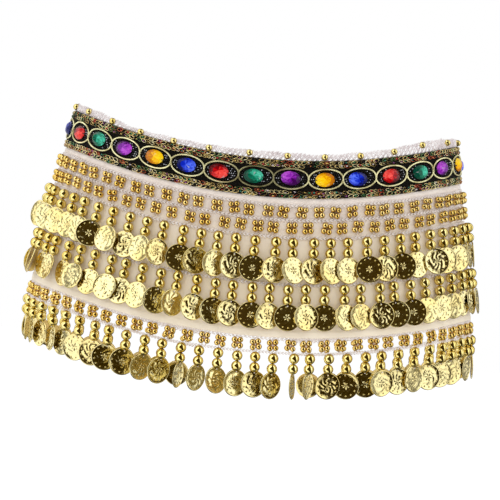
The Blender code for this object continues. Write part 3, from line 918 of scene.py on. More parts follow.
def cluster_posts(alongs, drop, top, foot, out, wall_out, turn):
    """The two yarn posts of every cluster, bowed out through its beads."""
    drops = top + (foot - top) * POST_STEPS
    bow = wall_out + (out - wall_out) * np.sin(math.pi * POST_STEPS) ** 0.5
    shapes = []
    for side in (-1.0, 1.0):
        for along, slant in zip(alongs, turn):
            across = along + side * CLUSTER_HALF * (0.45 + 0.55 * np.sin(math.pi * POST_STEPS))
            path, axes = wall_axes(across + (drops - drop) * math.sin(slant), drops, bow)
            shapes.append(tube(path, axes[:, 0], axes[:, 2], POST_RADIUS, 4))
    return shapes


def bead_clusters(alongs, drop, out, turn, chance):
    """Four small beads for every cluster, each cluster turned a little."""
    parts = []
    for x, y in ((-1.0, -1.0), (1.0, -1.0), (-1.0, 1.0), (1.0, 1.0)):
        right = CLUSTER_HALF * (x * np.cos(turn) - y * np.sin(turn))
        down = CLUSTER_HALF * (x * np.sin(turn) + y * np.cos(turn))
        wander = chance.uniform(-CLUSTER_BEAD_WANDER, CLUSTER_BEAD_WANDER, (3, len(alongs)))
        places, axes = wall_axes(alongs + right + wander[0], drop + down + wander[1], out + wander[2])
        parts.append(stamp(small_bead, places, axes, chance.uniform(*SMALL_BEAD_SIZES, len(alongs))))
    return put_together(parts)


def cluster_knots(alongs, drops, out):
    """Knots in the middles of the clusters; the dark brown ones on the cloth rows are painted shade between
    the beads.
    """
    places, axes = wall_axes(alongs, drops, out)
    return stamp(turned(((0.5, 1.5), (1.25, 0.7), (1.25, -0.7), (0.5, -1.5)), 6), places, axes)


def spaced(count, drop, end_room, wander, chance):
    """Places along the strip, evenly spaced but for the unevenness of handwork."""
    pitch = 2.0 * (half_length(drop) - end_room) / count
    return (np.arange(count) - 0.5 * (count - 1)) * pitch + chance.uniform(-wander, wander, count)


chance = np.random.default_rng(5)
small_bead = round_bead(SMALL_BEAD_RADIUS, SMALL_BEAD_HOLE, 6, 10)
bead_parts, post_parts, shade_knot_parts = [], [], []
for drop, clusters, top, foot in CLUSTER_ROWS:
    alongs = spaced(clusters, drop, CLUSTER_END_ROOM, CLUSTER_WANDER, chance)
    turn = chance.uniform(-CLUSTER_SLANT, CLUSTER_SLANT, clusters)
    drift = drop + chance.uniform(-CLUSTER_UNEVEN, CLUSTER_UNEVEN, clusters)
    bead_parts.append(bead_clusters(alongs, drift, CLUSTER_OUT, turn, chance))
    post_parts += cluster_posts(alongs, drop, top, foot, CLUSTER_OUT - POST_SINK, POST_FOOT_OUT, turn)
    shade_knot_parts.append(cluster_knots(alongs, drift, CLUSTER_OUT - KNOT_SINK))
small_gold = plated_gold("small_bead_gold", SMALL_GOLD, DEEP_SMALL_GOLD, 0.06)
new_piece("crochet_beads", put_together(bead_parts), small_gold)
# Dark brown knots: painted shade in the gaps between each cluster's beads.
painted_shade_yarn = yarn_finish("painted_shade_yarn", SHADE_KNOT_BROWN, SHADE_KNOT_DARK_BROWN)
new_piece("cluster_knots", put_together(shade_knot_parts), painted_shade_yarn)
beige_yarn = yarn_finish("beige_yarn", BEIGE, BEIGE_SHADE)
posts = new_piece("crochet_posts", put_together(post_parts), beige_yarn)
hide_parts("beaded_crochet")

white_yarn = yarn_finish("white_yarn", YARN_WHITE, YARN_SHADE)
chains = put_together([chain_line(drop, out, phase) for phase, (drop, out) in enumerate(CHAIN_LINES)])
new_piece("crochet_chains", chains, white_yarn)


# ------------------------------------------------------------------ three fringes
# Each string hangs from a crocheted cord: two round gold-plated plastic beads and a coin of thin
# metal, 23 mm across, stamped with a small flower and a ring of dots. The lowest row hangs free.
Fringe = namedtuple("Fringe", "name node strings cord foot upper_bead lower_bead coin")
FRINGES = (
    # name, CAD node, number of strings, then the drops of the cord and its foot, the beads and the coin
    Fringe("upper", "coin_fringe_upper", 57, 69.9, 71.2, 74.0, 82.65, 97.3),
    Fringe("middle", "coin_fringe_middle", 59, 109.2, 110.0, 113.2, 121.85, 136.5),
)
FREE_FRINGE = Fringe("lower", "coin_fringe_lower", 59, 167.0, 168.6, 171.1, 179.75, 193.9)
CORD_OUT = 1.0
CORD_PHASE = 5   # of the upper cord's wander, one less than the next cord's
STRING_OUT = 4.7
STRING_WANDER = 1.7
STRING_SWAY = 2.2   # degrees
STRING_UNEVEN = 0.35
THREAD_RADIUS = 0.36
BEAD_RADIUS = 4.5
BEAD_HOLE = 0.9
BEAD_SIZES = (0.98, 1.0)
BEAD_SLACK = 0.15
COIN_RADIUS = 11.4
COIN_HALF = 0.28
COIN_SIDES = 48
COIN_RINGS = np.array((0.9, 1.7, 2.6, 3.4, 4.0, 4.8, 5.6, 6.4, 7.1, 9.95, 10.55, 10.95, COIN_RADIUS))
COIN_BACK_RINGS = np.array((COIN_RADIUS, 10.8, 7.2))
COIN_BACK_HEIGHTS = np.array((-0.12, -COIN_HALF - 0.12, -COIN_HALF))
COIN_RIM = 10.75
COIN_EDGE = 0.08
RIM_HALF_WIDTH = 0.32
RIM_RELIEF = 0.34
FLOWER_START = 0.4
FLOWER_WIDTH = 3.2
FLOWER_RELIEF = 0.55
PINWHEEL_START = 3.7
PINWHEEL_WIDTH = 3.6
PINWHEEL_RELIEF = 0.60
COIN_HOLE = 9.4
COIN_GAP = 0.8
COIN_MARGIN = 0.3
COIN_BEND = 0.0065
COIN_TIP = 3.2   # degrees
WALL_ROOM = 3.2
DOTS = 12
DOT_REACH = 8.8
COIN_SHIFTS = (0.0, 0.8, -0.8, 1.6, -1.6, 2.4, 3.2, 4.0)
COIN_BLENDS = (0.0, 0.25, 0.5, 0.75, 1.0)
COIN_LEANS = {
    # how far the coins over the left and the right hip turn towards the front, in degrees
    "upper": (40.0, 14.0),
    "middle": (-10.0, 12.0),
    "lower": (-12.0, 20.0),
}
LEAN_START = 0.35   # this and the next as sines of the angle round the hips
LEAN_WIDTH = 0.6
LAST_LEAN = 1.2   # radians round the right side; the coins past it lie flat
COIN_TURNS = {
    # where each coin from the left hip to the right one faces, in degrees to the right of straight ahead
    "upper": (-36, -35, -34, -35, 0, -35, -21, -34, 33, 5, 21, 33, 22,
              2, 26, 31, 23, 32, 29, 0, 20, 8, 31, 18, 31, 34),
    "middle": (-54, -62, -52, -40, -34, -28, -18, -33, 10, 37, 26, 16, 23,
               2, 28, -2, 27, 0, 31, 31, 18, -4, 6, 31, 33, 36),
    "lower": (-56, -66, -46, -25, -18, 6, 12, 36, 37, 68, 50, 38, 31,
              23, 40, 79, 66, 23, 0, 8, 32, 25, 45, 31, 32, 36),
}
TURN_SPREAD = 1.5   # degrees
LAID_SPREAD = 10.0   # degrees
FREE_SPREAD = 13.0   # degrees
PALE_GOLD = (0.82, 0.715, 0.36)
DEEP_PALE_GOLD = (0.79, 0.64, 0.26)


def polar(radius, turn, height):
    """Points at these distances and turns round a middle, at these heights."""
    return np.stack(np.broadcast_arrays(radius * np.cos(turn), radius * np.sin(turn), height), -1)


def stamped_coin():
    """A thin coin: raised rim, ring of dots and, in the middle, a small flower in a pinwheel."""
    turn = full_turn(COIN_SIDES)
    radius, angle = np.meshgrid(COIN_RINGS, turn, indexing="ij")
    petal = np.clip((radius - FLOWER_START) / FLOWER_WIDTH, 0.0, 1.0)
    flower = np.cos(3.0 * angle) ** 6 * np.sin(math.pi * petal)
    spoke = np.abs(np.cos(3.5 * (angle + 0.22 * radius + 0.25 * np.sin(2.0 * angle)))) ** 8.0
    blade = np.clip((radius - PINWHEEL_START) / PINWHEEL_WIDTH, 0.0, 1.0)
    pinwheel = spoke * np.sin(math.pi * blade) ** 0.7
    rim = np.exp(-((radius - COIN_RIM) / RIM_HALF_WIDTH) ** 4)
    height = COIN_HALF + FLOWER_RELIEF * flower + PINWHEEL_RELIEF * pinwheel + RIM_RELIEF * rim
    height[-1] = COIN_EDGE
    back = polar(COIN_BACK_RINGS[:, None], turn, COIN_BACK_HEIGHTS[:, None])
    rings = np.concatenate([polar(radius, angle, height), back])
    count = len(rings) * COIN_SIDES
    points = np.concatenate([rings.reshape(-1, 3), [[0.0, 0.0, COIN_HALF], [0.0, 0.0, -COIN_HALF]]])
    faces = np.concatenate([sheet_faces(len(rings), COIN_SIDES, wraps=True),
                            fan_faces(0, count, COIN_SIDES)[:, ::-1],
                            fan_faces(count - COIN_SIDES, count + 1, COIN_SIDES)])
    shapes = [(points, faces_out(points, faces))]
    dot_points, dot_faces = turned(((0.40, 0.58), (1.05, -0.1)), 6)
    dot_points = dot_points[:, [0, 2, 1]]
    dot_faces = faces_out(dot_points, dot_faces)
    for centre in polar(DOT_REACH, full_turn(DOTS, 0.5), COIN_HALF):
        shapes.append((dot_points + centre, dot_faces))
    return put_together(shapes)


def hanging(alongs, foot, out, free, drop, sway):
    """Places and axes of the beads or coins of a fringe, at one drop."""
    if free:
        place, axes = wall_axes(alongs, foot, out, hangs=True)
        place = place - UP * np.broadcast_to(drop - foot, alongs.shape)[:, None]
    else:
        place, axes = wall_axes(alongs * half_width(drop) / half_width(foot), drop, out)
    return place + axes[:, 0] * np.broadcast_to(np.tan(sway) * (drop - foot), alongs.shape)[:, None], axes


def turn_axes(axes, yaw, tip):
    """The same axes after a turn about up (towards the right) and a tip forward, in radians."""
    cos, sin = math.cos(yaw), math.sin(yaw)
    yaws = np.array([[cos, 0.0, -sin], [0.0, 1.0, 0.0], [sin, 0.0, cos]])
    cos, sin = math.cos(tip), math.sin(tip)
    tips = np.array([[1.0, 0.0, 0.0], [0.0, cos, sin], [0.0, -sin, cos]])
    return tips @ yaws @ axes


# Points all over a coin, to try whether it lies clear of its neighbour.
COIN_PROBE = polar(*np.meshgrid(np.linspace(1.5, COIN_RADIUS, 7), np.linspace(0.0, 2.0 * math.pi, 40)),
                   0.0).reshape(-1, 3)


def lies_clear(centre, turned_axes, other_centre, other_axes):
    """True where a coin passes wholly in front of, behind or beside another."""
    seen = (COIN_PROBE @ turned_axes + centre - other_centre) @ other_axes.T
    depth = seen[np.hypot(seen[:, 0], seen[:, 1]) < COIN_RADIUS + COIN_MARGIN, 2]
    return len(depth) == 0 or depth.min() > COIN_GAP or depth.max() < -COIN_GAP


def coin_tries(hole, axes, yaw, last_yaw, tip, free):
    """Ways to hang one coin, the wished one first, each as its centre, axes and yaw."""
    for blend in COIN_BLENDS:
        tried_yaw = yaw + blend * (last_yaw - yaw)
        turned_axes = turn_axes(axes, tried_yaw, tip)
        swing = COIN_RADIUS * (abs(math.sin(tried_yaw)) + abs(math.sin(tip)))
        lift = 0.0 if free else max(0.0, swing - WALL_ROOM)
        for shift in COIN_SHIFTS:
            if free or shift >= 0.0:
                yield hole - COIN_HOLE * turned_axes[1] + (lift + shift) * axes[2], turned_axes, tried_yaw


def hang_coins(holes, axes, yaws, tips, free):
    """Hangs the coins one after another, each turned as wished as far as its neighbour lets it."""
    hung = []
    last_yaw = 0.0
    for hole, axis, yaw, tip in zip(holes, axes, yaws, tips):
        for centre, turned_axes, tried_yaw in coin_tries(hole, axis, yaw, last_yaw, tip, free):
            if not hung or lies_clear(centre, turned_axes, *hung[-1]):
                break
        hung.append((centre, turned_axes))
        last_yaw = tried_yaw
    centres, coin_axes = zip(*hung)
    return np.array(centres), np.array(coin_axes)


def coin_gold():
    """Thin stamped metal plated pale gold: mirror-like, with a fine crackle of dents."""
    finish, tree, shader = new_finish("coin_gold", PALE_GOLD, 0.125, 1.0)
    place = on_piece(tree)
    tones = ramp(tree, noise(tree, place, 45.0, 1.0), ((0.36, DEEP_PALE_GOLD), (0.60, PALE_GOLD)))
    tree.links.new(tones, shader.inputs["Base Color"])
    under = bump(tree, shader, noise(tree, place, 120.0, 1.0), 0.26, 0.7)
    bump(tree, shader, noise(tree, place, 520.0, 3.0, 1.4), 0.08, 0.8, under)
    return finish


def bent_coins(shape, count, chance):
    """A set of the same coin, each drilled at another place of its rim and bent its own way."""
    points, faces = shape
    way = chance.uniform(0.0, math.pi, count)[:, None]
    bend = chance.uniform(-COIN_BEND, COIN_BEND, count)[:, None]
    spin = chance.uniform(0.0, 2.0 * math.pi, (count, 1))
    bent = np.repeat(points[None], count, axis=0)
    bent[:, :, 0] = points[:, 0] * np.cos(spin) - points[:, 1] * np.sin(spin)
    bent[:, :, 1] = points[:, 0] * np.sin(spin) + points[:, 1] * np.cos(spin)
    across = bent[:, :, 0] * np.cos(way) + bent[:, :, 1] * np.sin(way)
    bent[:, :, 2] += bend * (across ** 2 - 0.3 * COIN_RADIUS ** 2)
    return bent, faces


def thread_string(start, bead, hole, face):
    """The thread of one string: through both beads, then down to the hole of its coin."""
    below = bead - UP * (BEAD_RADIUS - 0.3)
    path = np.array([start, 0.5 * (start + bead), bead, below, 0.4 * below + 0.6 * hole + 0.6 * face,
                     hole + 0.55 * face, hole - 0.2 * face])
    side_a, side_b = np.broadcast_to(np.cross(face, UP), path.shape), np.broadcast_to(face, path.shape)
    knot_points, knot_faces = thread_knot
    return put_together([tube(path, side_a, side_b, THREAD_RADIUS, 4),
                         (knot_points + hole + 0.6 * face, knot_faces)])


def coin_yaws(fringe, angle, axes, free, chance):
    """How far each coin turns: as listed in front, and by chance where the list has no coin."""
    left_lean, right_lean = COIN_LEANS[fringe.name]
    round_side = np.clip((np.abs(np.sin(angle)) - LEAN_START) / LEAN_WIDTH, 0.0, 1.0)
    lean = np.where(angle < 0.0, left_lean, -right_lean) * round_side ** 1.5
    lean = lean + chance.normal(0.0, FREE_SPREAD if free else LAID_SPREAD, len(angle))
    lean = np.where(angle > LAST_LEAN, 0.0, lean)
    turns = np.array(COIN_TURNS[fringe.name])
    first = len(angle) // 2 - len(turns) // 2
    listed = slice(first, first + len(turns))
    wall_turn = np.degrees(np.arctan2(axes[listed, 2, 0], -axes[listed, 2, 1]))
    lean[listed] = turns - wall_turn + chance.normal(0.0, TURN_SPREAD, len(turns))
    return np.radians(lean)


def make_fringe(fringe, alongs, out, free, chance):
    """Beads and coins of one fringe; returns the shapes of its threads."""
    strings = len(alongs)
    sway = np.radians(chance.uniform(-STRING_SWAY, STRING_SWAY, strings))
    level = chance.uniform(-STRING_UNEVEN, STRING_UNEVEN, strings)
    slack = BEAD_SLACK * chance.random(strings)
    line = (alongs, fringe.foot, out, free)
    start, _ = hanging(*line, fringe.cord, 0.0)
    upper_bead, bead_axes = hanging(*line, fringe.upper_bead + level, sway)
    lower_bead, _ = hanging(*line, fringe.lower_bead + level + slack, sway)
    hole, _ = hanging(*line, fringe.coin - COIN_HOLE + level, sway)
    sizes = chance.uniform(*BEAD_SIZES, strings)
    beads = put_together([stamp(big_bead, upper_bead, bead_axes, sizes),
                          stamp(big_bead, lower_bead, bead_axes, sizes)])
    new_piece(fringe.name + "_fringe_beads", beads, bead_gold)
    yaws = coin_yaws(fringe, angle_at(alongs, fringe.foot), bead_axes, free, chance)
    tips = np.radians(chance.normal(0.0, COIN_TIP, strings))
    centres, coin_axes = hang_coins(hole, bead_axes, yaws, tips, free)
    coins = stamp(bent_coins(coin, strings, chance), centres, coin_axes)
    coin_piece = new_piece(fringe.name + "_fringe_coins", coins, coin_finish)
    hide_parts(fringe.node)
    eyes = centres + COIN_HOLE * coin_axes[:, 1]
    return [thread_string(*ends) for ends in zip(start, lower_bead, eyes, coin_axes[:, 2])]


chance = np.random.default_rng(17)
coin, big_bead = stamped_coin(), round_bead(BEAD_RADIUS, BEAD_HOLE, 9, 16)
thread_knot = turned(((0.3, 0.6), (0.6, 0.1), (0.3, -0.55)), 5)
coin_finish = coin_gold()
cord_parts = []
for phase, fringe in enumerate(FRINGES, CORD_PHASE):
    alongs = spaced(fringe.strings, fringe.foot, 0.0, STRING_WANDER, chance)
    cord_parts += make_fringe(fringe, alongs, STRING_OUT, False, chance)
    cord_parts.append(chain_line(fringe.cord, CORD_OUT, phase))


# ------------------------------------------------------------------ the open crochet row
# Below the hem the crochet has no cloth behind it: clusters of four small beads on beige posts,
# between the chain worked into the hem and a thin lower chain that carries the last fringe. The
# back's clusters and strings stand right behind the front's, so that the row can be seen through.
OPEN_CLUSTERS = 64
OPEN_TOP = 154.6
OPEN_FOOT = 166.6
OPEN_MIDDLE = 160.2
OPEN_OUT = -0.75
OPEN_WANDER = 1.1
OPEN_UNEVEN = 0.3
OPEN_SLANT = 0.2   # radians
OPEN_BEAD_LIFT = 0.4
OPEN_POST_LIFT = 0.2
OPEN_KNOT_SINK = 0.4
HEM_CHAIN_PHASE = 5
LAST_CHAIN_PHASE = 4
LAST_CHAIN_RISE = 0.3
LAST_CHAIN_SIZE = 0.8
EYE_DISTANCE = 3000.0


def side_line(alongs, drop):
    """How far aside of the middle these places of the open row fall, seen from straight ahead."""
    places = hip_wall(alongs, drop, OPEN_OUT)
    return places[:, 0] / (EYE_DISTANCE + places[:, 1])


def lined_up(count, drop, wander, chance):
    """Nearly this many places along the strip: even in front and, at the back, right behind those."""
    pitch = 2.0 * half_length(drop) / count
    quarter = 0.5 * HALF_GIRTH_PER_WIDTH * half_width(drop)
    behind = np.linspace(quarter, half_length(drop) - 1.5, 400)
    back_line = side_line(behind, drop)
    falling = slice(int(np.argmax(back_line)), None)
    places = []
    for side in (-1.0, 1.0):
        fronts = (np.arange(round(quarter / pitch)) + 0.5) * pitch
        fronts = fronts + chance.uniform(-wander, wander, len(fronts)) * np.linspace(1.0, 0.3, len(fronts))
        line = side_line(fronts, drop)
        backs = np.interp(-line, -back_line[falling], behind[falling], left=np.nan, right=np.nan)
        backs = backs[np.isfinite(backs) & (backs > fronts.max() + 0.6 * pitch)]
        places += [side * fronts, side * backs]
    return np.sort(np.concatenate(places))


chance = np.random.default_rng(23)
alongs = lined_up(OPEN_CLUSTERS, OPEN_MIDDLE, OPEN_WANDER, chance)
turn = chance.uniform(-OPEN_SLANT, OPEN_SLANT, len(alongs))
open_drops = OPEN_MIDDLE + chance.uniform(-OPEN_UNEVEN, OPEN_UNEVEN, len(alongs))
open_beads = bead_clusters(alongs, open_drops, OPEN_OUT + OPEN_BEAD_LIFT, turn, chance)
new_piece("open_row_beads", open_beads, small_gold)
open_posts = cluster_posts(alongs, OPEN_MIDDLE, OPEN_TOP, OPEN_FOOT, OPEN_OUT + OPEN_POST_LIFT,
                           OPEN_OUT, turn)
open_knots = cluster_knots(alongs, open_drops, OPEN_OUT - OPEN_KNOT_SINK)
new_piece("open_row_knots", open_knots, beige_yarn)
open_piece = new_piece("open_row_posts", put_together(open_posts), beige_yarn)
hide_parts("open_crochet_left", "open_crochet_right")
open_chain = chain_line(OPEN_TOP, OPEN_OUT, HEM_CHAIN_PHASE)
new_piece("hem_chain", open_chain, white_yarn)

alongs = lined_up(FREE_FRINGE.strings, FREE_FRINGE.foot, STRING_WANDER, chance)
cord_parts += make_fringe(FREE_FRINGE, alongs, OPEN_OUT, True, chance)
last_chain = chain_line(FREE_FRINGE.cord - LAST_CHAIN_RISE, OPEN_OUT, LAST_CHAIN_PHASE, size=LAST_CHAIN_SIZE)
cord_parts.append(last_chain)
new_piece("fringe_cords", put_together(cord_parts), white_yarn)


# ------------------------------------------------------------------ the ties at the back
# Two cotton ties sewn into the band's ends, gathered into one knot at the centre back. Their
# tails hang loose and a little unequal, with soft folds and narrow hems.
KNOT_DROP = 18.0
KNOT_OUT = 1.5
KNOT_HALF = 8.4
KNOT_PROFILE = (
    # x, half height, half thickness
    (-8.2, 3.6, 2.4), (-7.0, 5.6, 3.9), (-4.8, 7.3, 5.2), (-2.4, 8.2, 5.8), (0.0, 8.4, 6.0),
    (2.4, 8.2, 5.8), (4.8, 7.3, 5.2), (7.0, 5.6, 3.9), (8.2, 3.6, 2.4),
)
PLEAT_DEPTH = 0.11
TIE_OUT = 0.375
TIE_SEAM = 18.0
TIE_TOP = 7.0
TIE_BEND = 11.0
TIE_PUCKER = 0.6
END_SLOPE = 0.156
TIE_PROFILE = (
    # x, upper drop, lower drop, half thickness
    (TIE_SEAM, TIE_TOP, 28.0, 0.75), (16.0, 9.6, 26.4, 0.9), (13.8, 12.3, 24.2, 1.2), (11.0, 14.0, 22.2, 1.6),
    (8.0, 14.8, 21.2, 1.9),
)
TAILS = (
    # name, CAD node, phase of its folds, then drop, x, out, half width, half thickness
    ("left_tail", "tie_tail_left", 0.0,
     ((25.0, -3.2, 2.0, 3.0, 1.6), (32.0, -5.0, 3.6, 4.4, 1.3), (42.0, -7.5, 5.0, 6.2, 1.0),
      (74.0, -11.0, 6.0, 7.6, 0.7), (113.0, -13.0, 5.4, 8.2, 0.7))),
    ("right_tail", "tie_tail_right", 1.9,
     ((25.0, 3.2, 2.2, 3.0, 1.6), (31.0, 5.2, 3.8, 4.4, 1.3), (40.0, 8.4, 5.2, 6.0, 1.0),
      (68.0, 10.6, 6.6, 7.4, 0.7), (101.0, 11.6, 6.2, 8.2, 0.7))),
)
TAIL_START = 30.0
TAIL_OPENING = 25.0
TAIL_HEM = 0.25
TAIL_HEM_START = 0.86
TAIL_CURL = 1.5
TAIL_WAVE = 1.1
TAIL_RIPPLE = 0.35
TAIL_CRUSH = 0.5


def back_point(x, drop, out):
    """Points behind the hips, level with the strip's drop at the centre back."""
    x, drop, out = np.broadcast_arrays(np.float64(x), np.float64(drop), np.float64(out))
    return np.stack([x, DEPTH_RATIO * half_width(drop) + out, -drop - BACK_SAG], -1)


def eased(rows, steps):
    """A table of sections, filled in smoothly between its rows."""
    rows = np.array(rows)
    stations = np.linspace(0.0, len(rows) - 1.0, steps)
    index = np.clip(stations.astype(int), 0, len(rows) - 2)
    share = (stations - index)[:, None]
    before, after = rows[np.maximum(index - 1, 0)], rows[np.minimum(index + 2, len(rows) - 1)]
    here, there = rows[index], rows[index + 1]
    leave, arrive = 0.5 * (there - before), 0.5 * (after - here)
    return (here * (1 + 2 * share) * (1 - share) ** 2 + leave * share * (1 - share) ** 2
            + there * share ** 2 * (3 - 2 * share) - arrive * share ** 2 * (1 - share))


def ring_uv(rings):
    """Flat co-ordinates for a closed shape's weave, along it and round it."""
    along = np.linalg.norm(np.diff(rings, axis=0), axis=-1).mean(axis=1)
    along = np.concatenate(([0.0], np.cumsum(along)))
    step = np.linalg.norm(rings[:, 1] - rings[:, 0], axis=-1).mean()
    around = step * np.arange(rings.shape[1])
    return np.stack(np.broadcast_arrays(along[:, None], around), -1).reshape(-1, 2) * MM


def tie_piece(name, sections):
    """A piece of gathered or hanging tie cloth through these sections."""
    rings = np.array(sections)
    return new_piece(name, closed_rings(rings), tie_cotton, uv=ring_uv(rings))


tie_cotton = white_cotton("tie_cotton")
turns = full_turn(36)
sections = []
for x, high, thick in eased(KNOT_PROFILE, 41):
    fade = min(1.0, (KNOT_HALF - abs(x)) / 2.0)
    pleat = 1.0 + PLEAT_DEPTH * np.sin(2.1 * x + 1.3 * np.sin(turns)) * fade
    sections.append(back_point(x, KNOT_DROP + high * pleat * np.sin(turns),
                               KNOT_OUT + thick * pleat * np.cos(turns)))
knot = tie_piece("knot", sections)
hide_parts("tie_knot")

across = np.linspace(-1.0, 1.0, 21)
loop = np.concatenate([across, across[::-1]])
face = np.repeat([1.0, -1.0], len(across))
for name, node, side in (("left_tie", "tie_band_left", -1.0), ("right_tie", "tie_band_right", 1.0)):
    sections = []
    for x, upper, lower, thick in eased(TIE_PROFILE, 17):
        gather = TIE_PUCKER * (TIE_SEAM - x) / 10.0 * np.sin(9.0 * loop)
        drops = 0.5 * (upper + lower) + 0.5 * (lower - upper) * loop
        end_slope = END_SLOPE * (drops - TIE_TOP) * np.clip((x - TIE_BEND) / (TIE_SEAM - TIE_BEND), 0.0, 1.0)
        sections.append(back_point(side * (x + end_slope), drops, TIE_OUT + face * thick * 0.9 + gather))
    tie = tie_piece(name, sections)
    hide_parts(node)

for name, node, phase, rows in TAILS:
    sections = []
    for drop, x, out, half_wide, half_thick in eased(rows, 61):
        free = min(1.0, max(0.0, (drop - TAIL_START) / TAIL_OPENING))
        waves = TAIL_WAVE * np.sin(2.6 * loop + phase + drop / 31.0)
        waves = waves + TAIL_RIPPLE * np.sin(7.0 * loop - drop / 17.0)
        crush = (1.0 - free) * TAIL_CRUSH * np.sin(10.0 * loop + phase)
        hem = TAIL_HEM * (np.abs(loop) > TAIL_HEM_START)
        sections.append(back_point(x + half_wide * loop, drop + TAIL_CURL * loop * free,
                                   out + free * waves + crush + face * (0.7 * half_thick + hem)))
    tail = tie_piece(name, sections)
    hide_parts(node)


# ------------------------------------------------------------------ the studio
# A plain white room with a pale floor, and a camera level with the garment. The polished metal and
# the stones reflect large soft lights at both sides, with a dark gap between them.
EYE_LEVEL = -111.3
EYE_ASIDE = -4.3
LENS_MM = 247.8
SENSOR_MM = 36.0
CAMERA_ROLL = 0.094   # radians
FLOOR_LEVEL = -460.0
FLOOR_HALF = 9000.0
FLOOR_GREY = (0.93, 0.93, 0.93)
# Where each edge of the lights starts and where it is full: degrees aside of straight ahead or
# above the level, or a share of the whole way to the right or to the back.
PANELS_BACK = (90.0, 72.0)
PANELS_TOP = (84.0, 56.0)
PANELS_FOOT = (-74.0, -44.0)
PANELS_LOW_TO_HIGH = (-30.0, 20.0)
LEFT_SIDE = (0.06, -0.06)
FRONT_SIDE = (0.25, -0.25)
GAP_LEFT = (-3.0, 7.0)
GAP_RIGHT = (51.0, 42.0)
# The gap is widest just above the level: its left edge leans in above and below that, and the
# whole gap swings to the right towards its foot.
GAP_LEFT_TURN = -54.0
GAP_MIDDLE_RISE = 4.0
GAP_LEAN = 0.8
GAP_SWING = 0.70
GAP_SHARES = (("X", 0.973), ("Y", 0.984), ("Z", 1.0))   # of its depth in red, green and blue
# How much each of these edges adds to the light or to the gap's depth, and what it adds to.
PANEL_GLOW = (1.42, 0.12)
LEFT_GLOW = (0.10, 1.0)
HIGH_GLOW = (0.30, 0.75)
FRONT_GLOW = (0.12, 0.88)
GAP_DEPTH = (0.21, 0.79)
AMBIENT = 0.06


def soft_step(tree, value, low, high):
    """0 below low and 1 above high; the other way round where high is the smaller."""
    node = add_node(tree, "ShaderNodeMapRange", {"Value": value, "From Min": min(low, high),
                                                 "From Max": max(low, high)}, interpolation_type="SMOOTHSTEP")
    if low < high:
        return node.outputs["Result"]
    return node_math(tree, "SUBTRACT", 1.0, node.outputs["Result"])


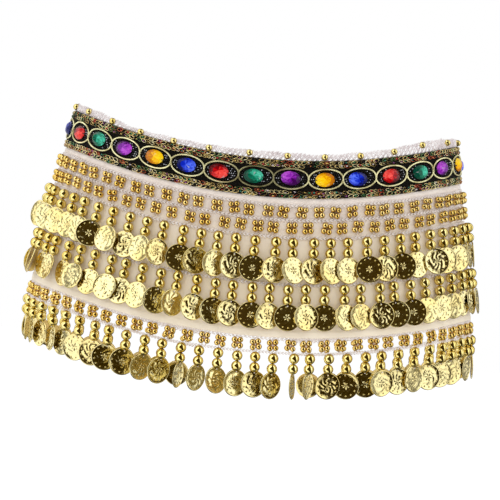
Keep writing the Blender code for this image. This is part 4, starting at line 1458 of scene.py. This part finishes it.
def studio_lights(tree):
    """What polished surfaces see: bright panels at both sides and a warm dark gap between them."""
    calc = partial(node_math, tree)
    edge = partial(soft_step, tree)
    way = add_node(tree, "ShaderNodeTexCoord").outputs["Generated"]
    parts = add_node(tree, "ShaderNodeSeparateXYZ", {"Vector": way}).outputs
    turn = calc("ARCTAN2", parts["X"], calc("ABSOLUTE", parts["Y"]))
    turn = calc("MULTIPLY", turn, 180.0 / math.pi)
    rise = calc("MULTIPLY", calc("ARCSINE", parts["Z"]), 180.0 / math.pi)
    ahead = edge(parts["Y"], *FRONT_SIDE)

    panels = calc("MULTIPLY", edge(rise, *PANELS_TOP), edge(rise, *PANELS_FOOT))
    side = calc("MULTIPLY_ADD", edge(parts["X"], *LEFT_SIDE), *LEFT_GLOW)
    level = calc("MULTIPLY_ADD", edge(rise, *PANELS_LOW_TO_HIGH), *HIGH_GLOW)
    panels = calc("MULTIPLY", panels, calc("MULTIPLY", side, level))
    glow = calc("MULTIPLY_ADD", edge(calc("ABSOLUTE", turn), *PANELS_BACK), *PANEL_GLOW)
    panels = calc("MULTIPLY", panels, glow)
    bright = calc("MULTIPLY_ADD", panels, calc("MULTIPLY_ADD", ahead, *FRONT_GLOW), AMBIENT)

    height = calc("ABSOLUTE", calc("SUBTRACT", rise, GAP_MIDDLE_RISE))
    left_edge = calc("MULTIPLY_ADD", height, GAP_LEAN, GAP_LEFT_TURN)
    gap_turn = calc("MULTIPLY_ADD", calc("MINIMUM", rise, 0.0), GAP_SWING, turn)
    gap = edge(calc("SUBTRACT", gap_turn, left_edge), *GAP_LEFT)
    gap = calc("MULTIPLY", gap, edge(gap_turn, *GAP_RIGHT))
    shade = calc("MULTIPLY", gap, calc("MULTIPLY_ADD", ahead, *GAP_DEPTH))
    light = {}
    for channel, share in GAP_SHARES:
        left = calc("SUBTRACT", 1.0, calc("MULTIPLY", shade, share))
        light[channel] = calc("MULTIPLY", bright, left)
    return add_node(tree, "ShaderNodeCombineXYZ", light).outputs["Vector"]


floor_mesh = bpy.data.meshes.new("floor")
floor_corners = [(x * FLOOR_HALF * MM, y * FLOOR_HALF * MM, FLOOR_LEVEL * MM)
                 for x, y in ((-1, -1), (1, -1), (1, 1), (-1, 1))]
floor_mesh.from_pydata(floor_corners, [], [(0, 1, 2, 3)])
floor_finish, _, _ = new_finish("floor_paint", FLOOR_GREY, 0.9, Specular_IOR_Level=0.0,
                                Emission_Color=(1.0, 1.0, 1.0, 1.0), Emission_Strength=0.15)
floor_mesh.materials.append(floor_finish)
floor = bpy.data.objects.new("floor", floor_mesh)
floor.visible_glossy = False
bpy.context.scene.collection.objects.link(floor)

world = bpy.data.worlds.new("studio")
bpy.context.scene.world = world
world.use_nodes = True
tree = world.node_tree
room = tree.nodes["Background"]
room.inputs["Color"].default_value = (1.0, 1.0, 1.0, 1.0)
panels = add_node(tree, "ShaderNodeBackground", {"Color": studio_lights(tree)})
ray = add_node(tree, "ShaderNodeLightPath")
mix = add_node(tree, "ShaderNodeMixShader", {0: ray.outputs["Is Glossy Ray"], 1: room.outputs[0],
                                             2: panels.outputs[0]})
tree.links.new(mix.outputs[0], tree.nodes["World Output"].inputs["Surface"])

camera_data = bpy.data.cameras.new("camera")
camera_data.sensor_width = SENSOR_MM
camera_data.lens = LENS_MM
camera_data.clip_end = 100.0
camera = bpy.data.objects.new("camera", camera_data)
bpy.context.scene.collection.objects.link(camera)
camera.location = (EYE_ASIDE * MM, -EYE_DISTANCE * MM, EYE_LEVEL * MM)
camera.rotation_mode = "QUATERNION"
camera.rotation_quaternion = (Quaternion((1.0, 0.0, 0.0), math.radians(90.0))
                              @ Quaternion((0.0, 0.0, 1.0), CAMERA_ROLL))
bpy.context.scene.camera = camera
bpy.context.scene.view_settings.view_transform = "Standard"
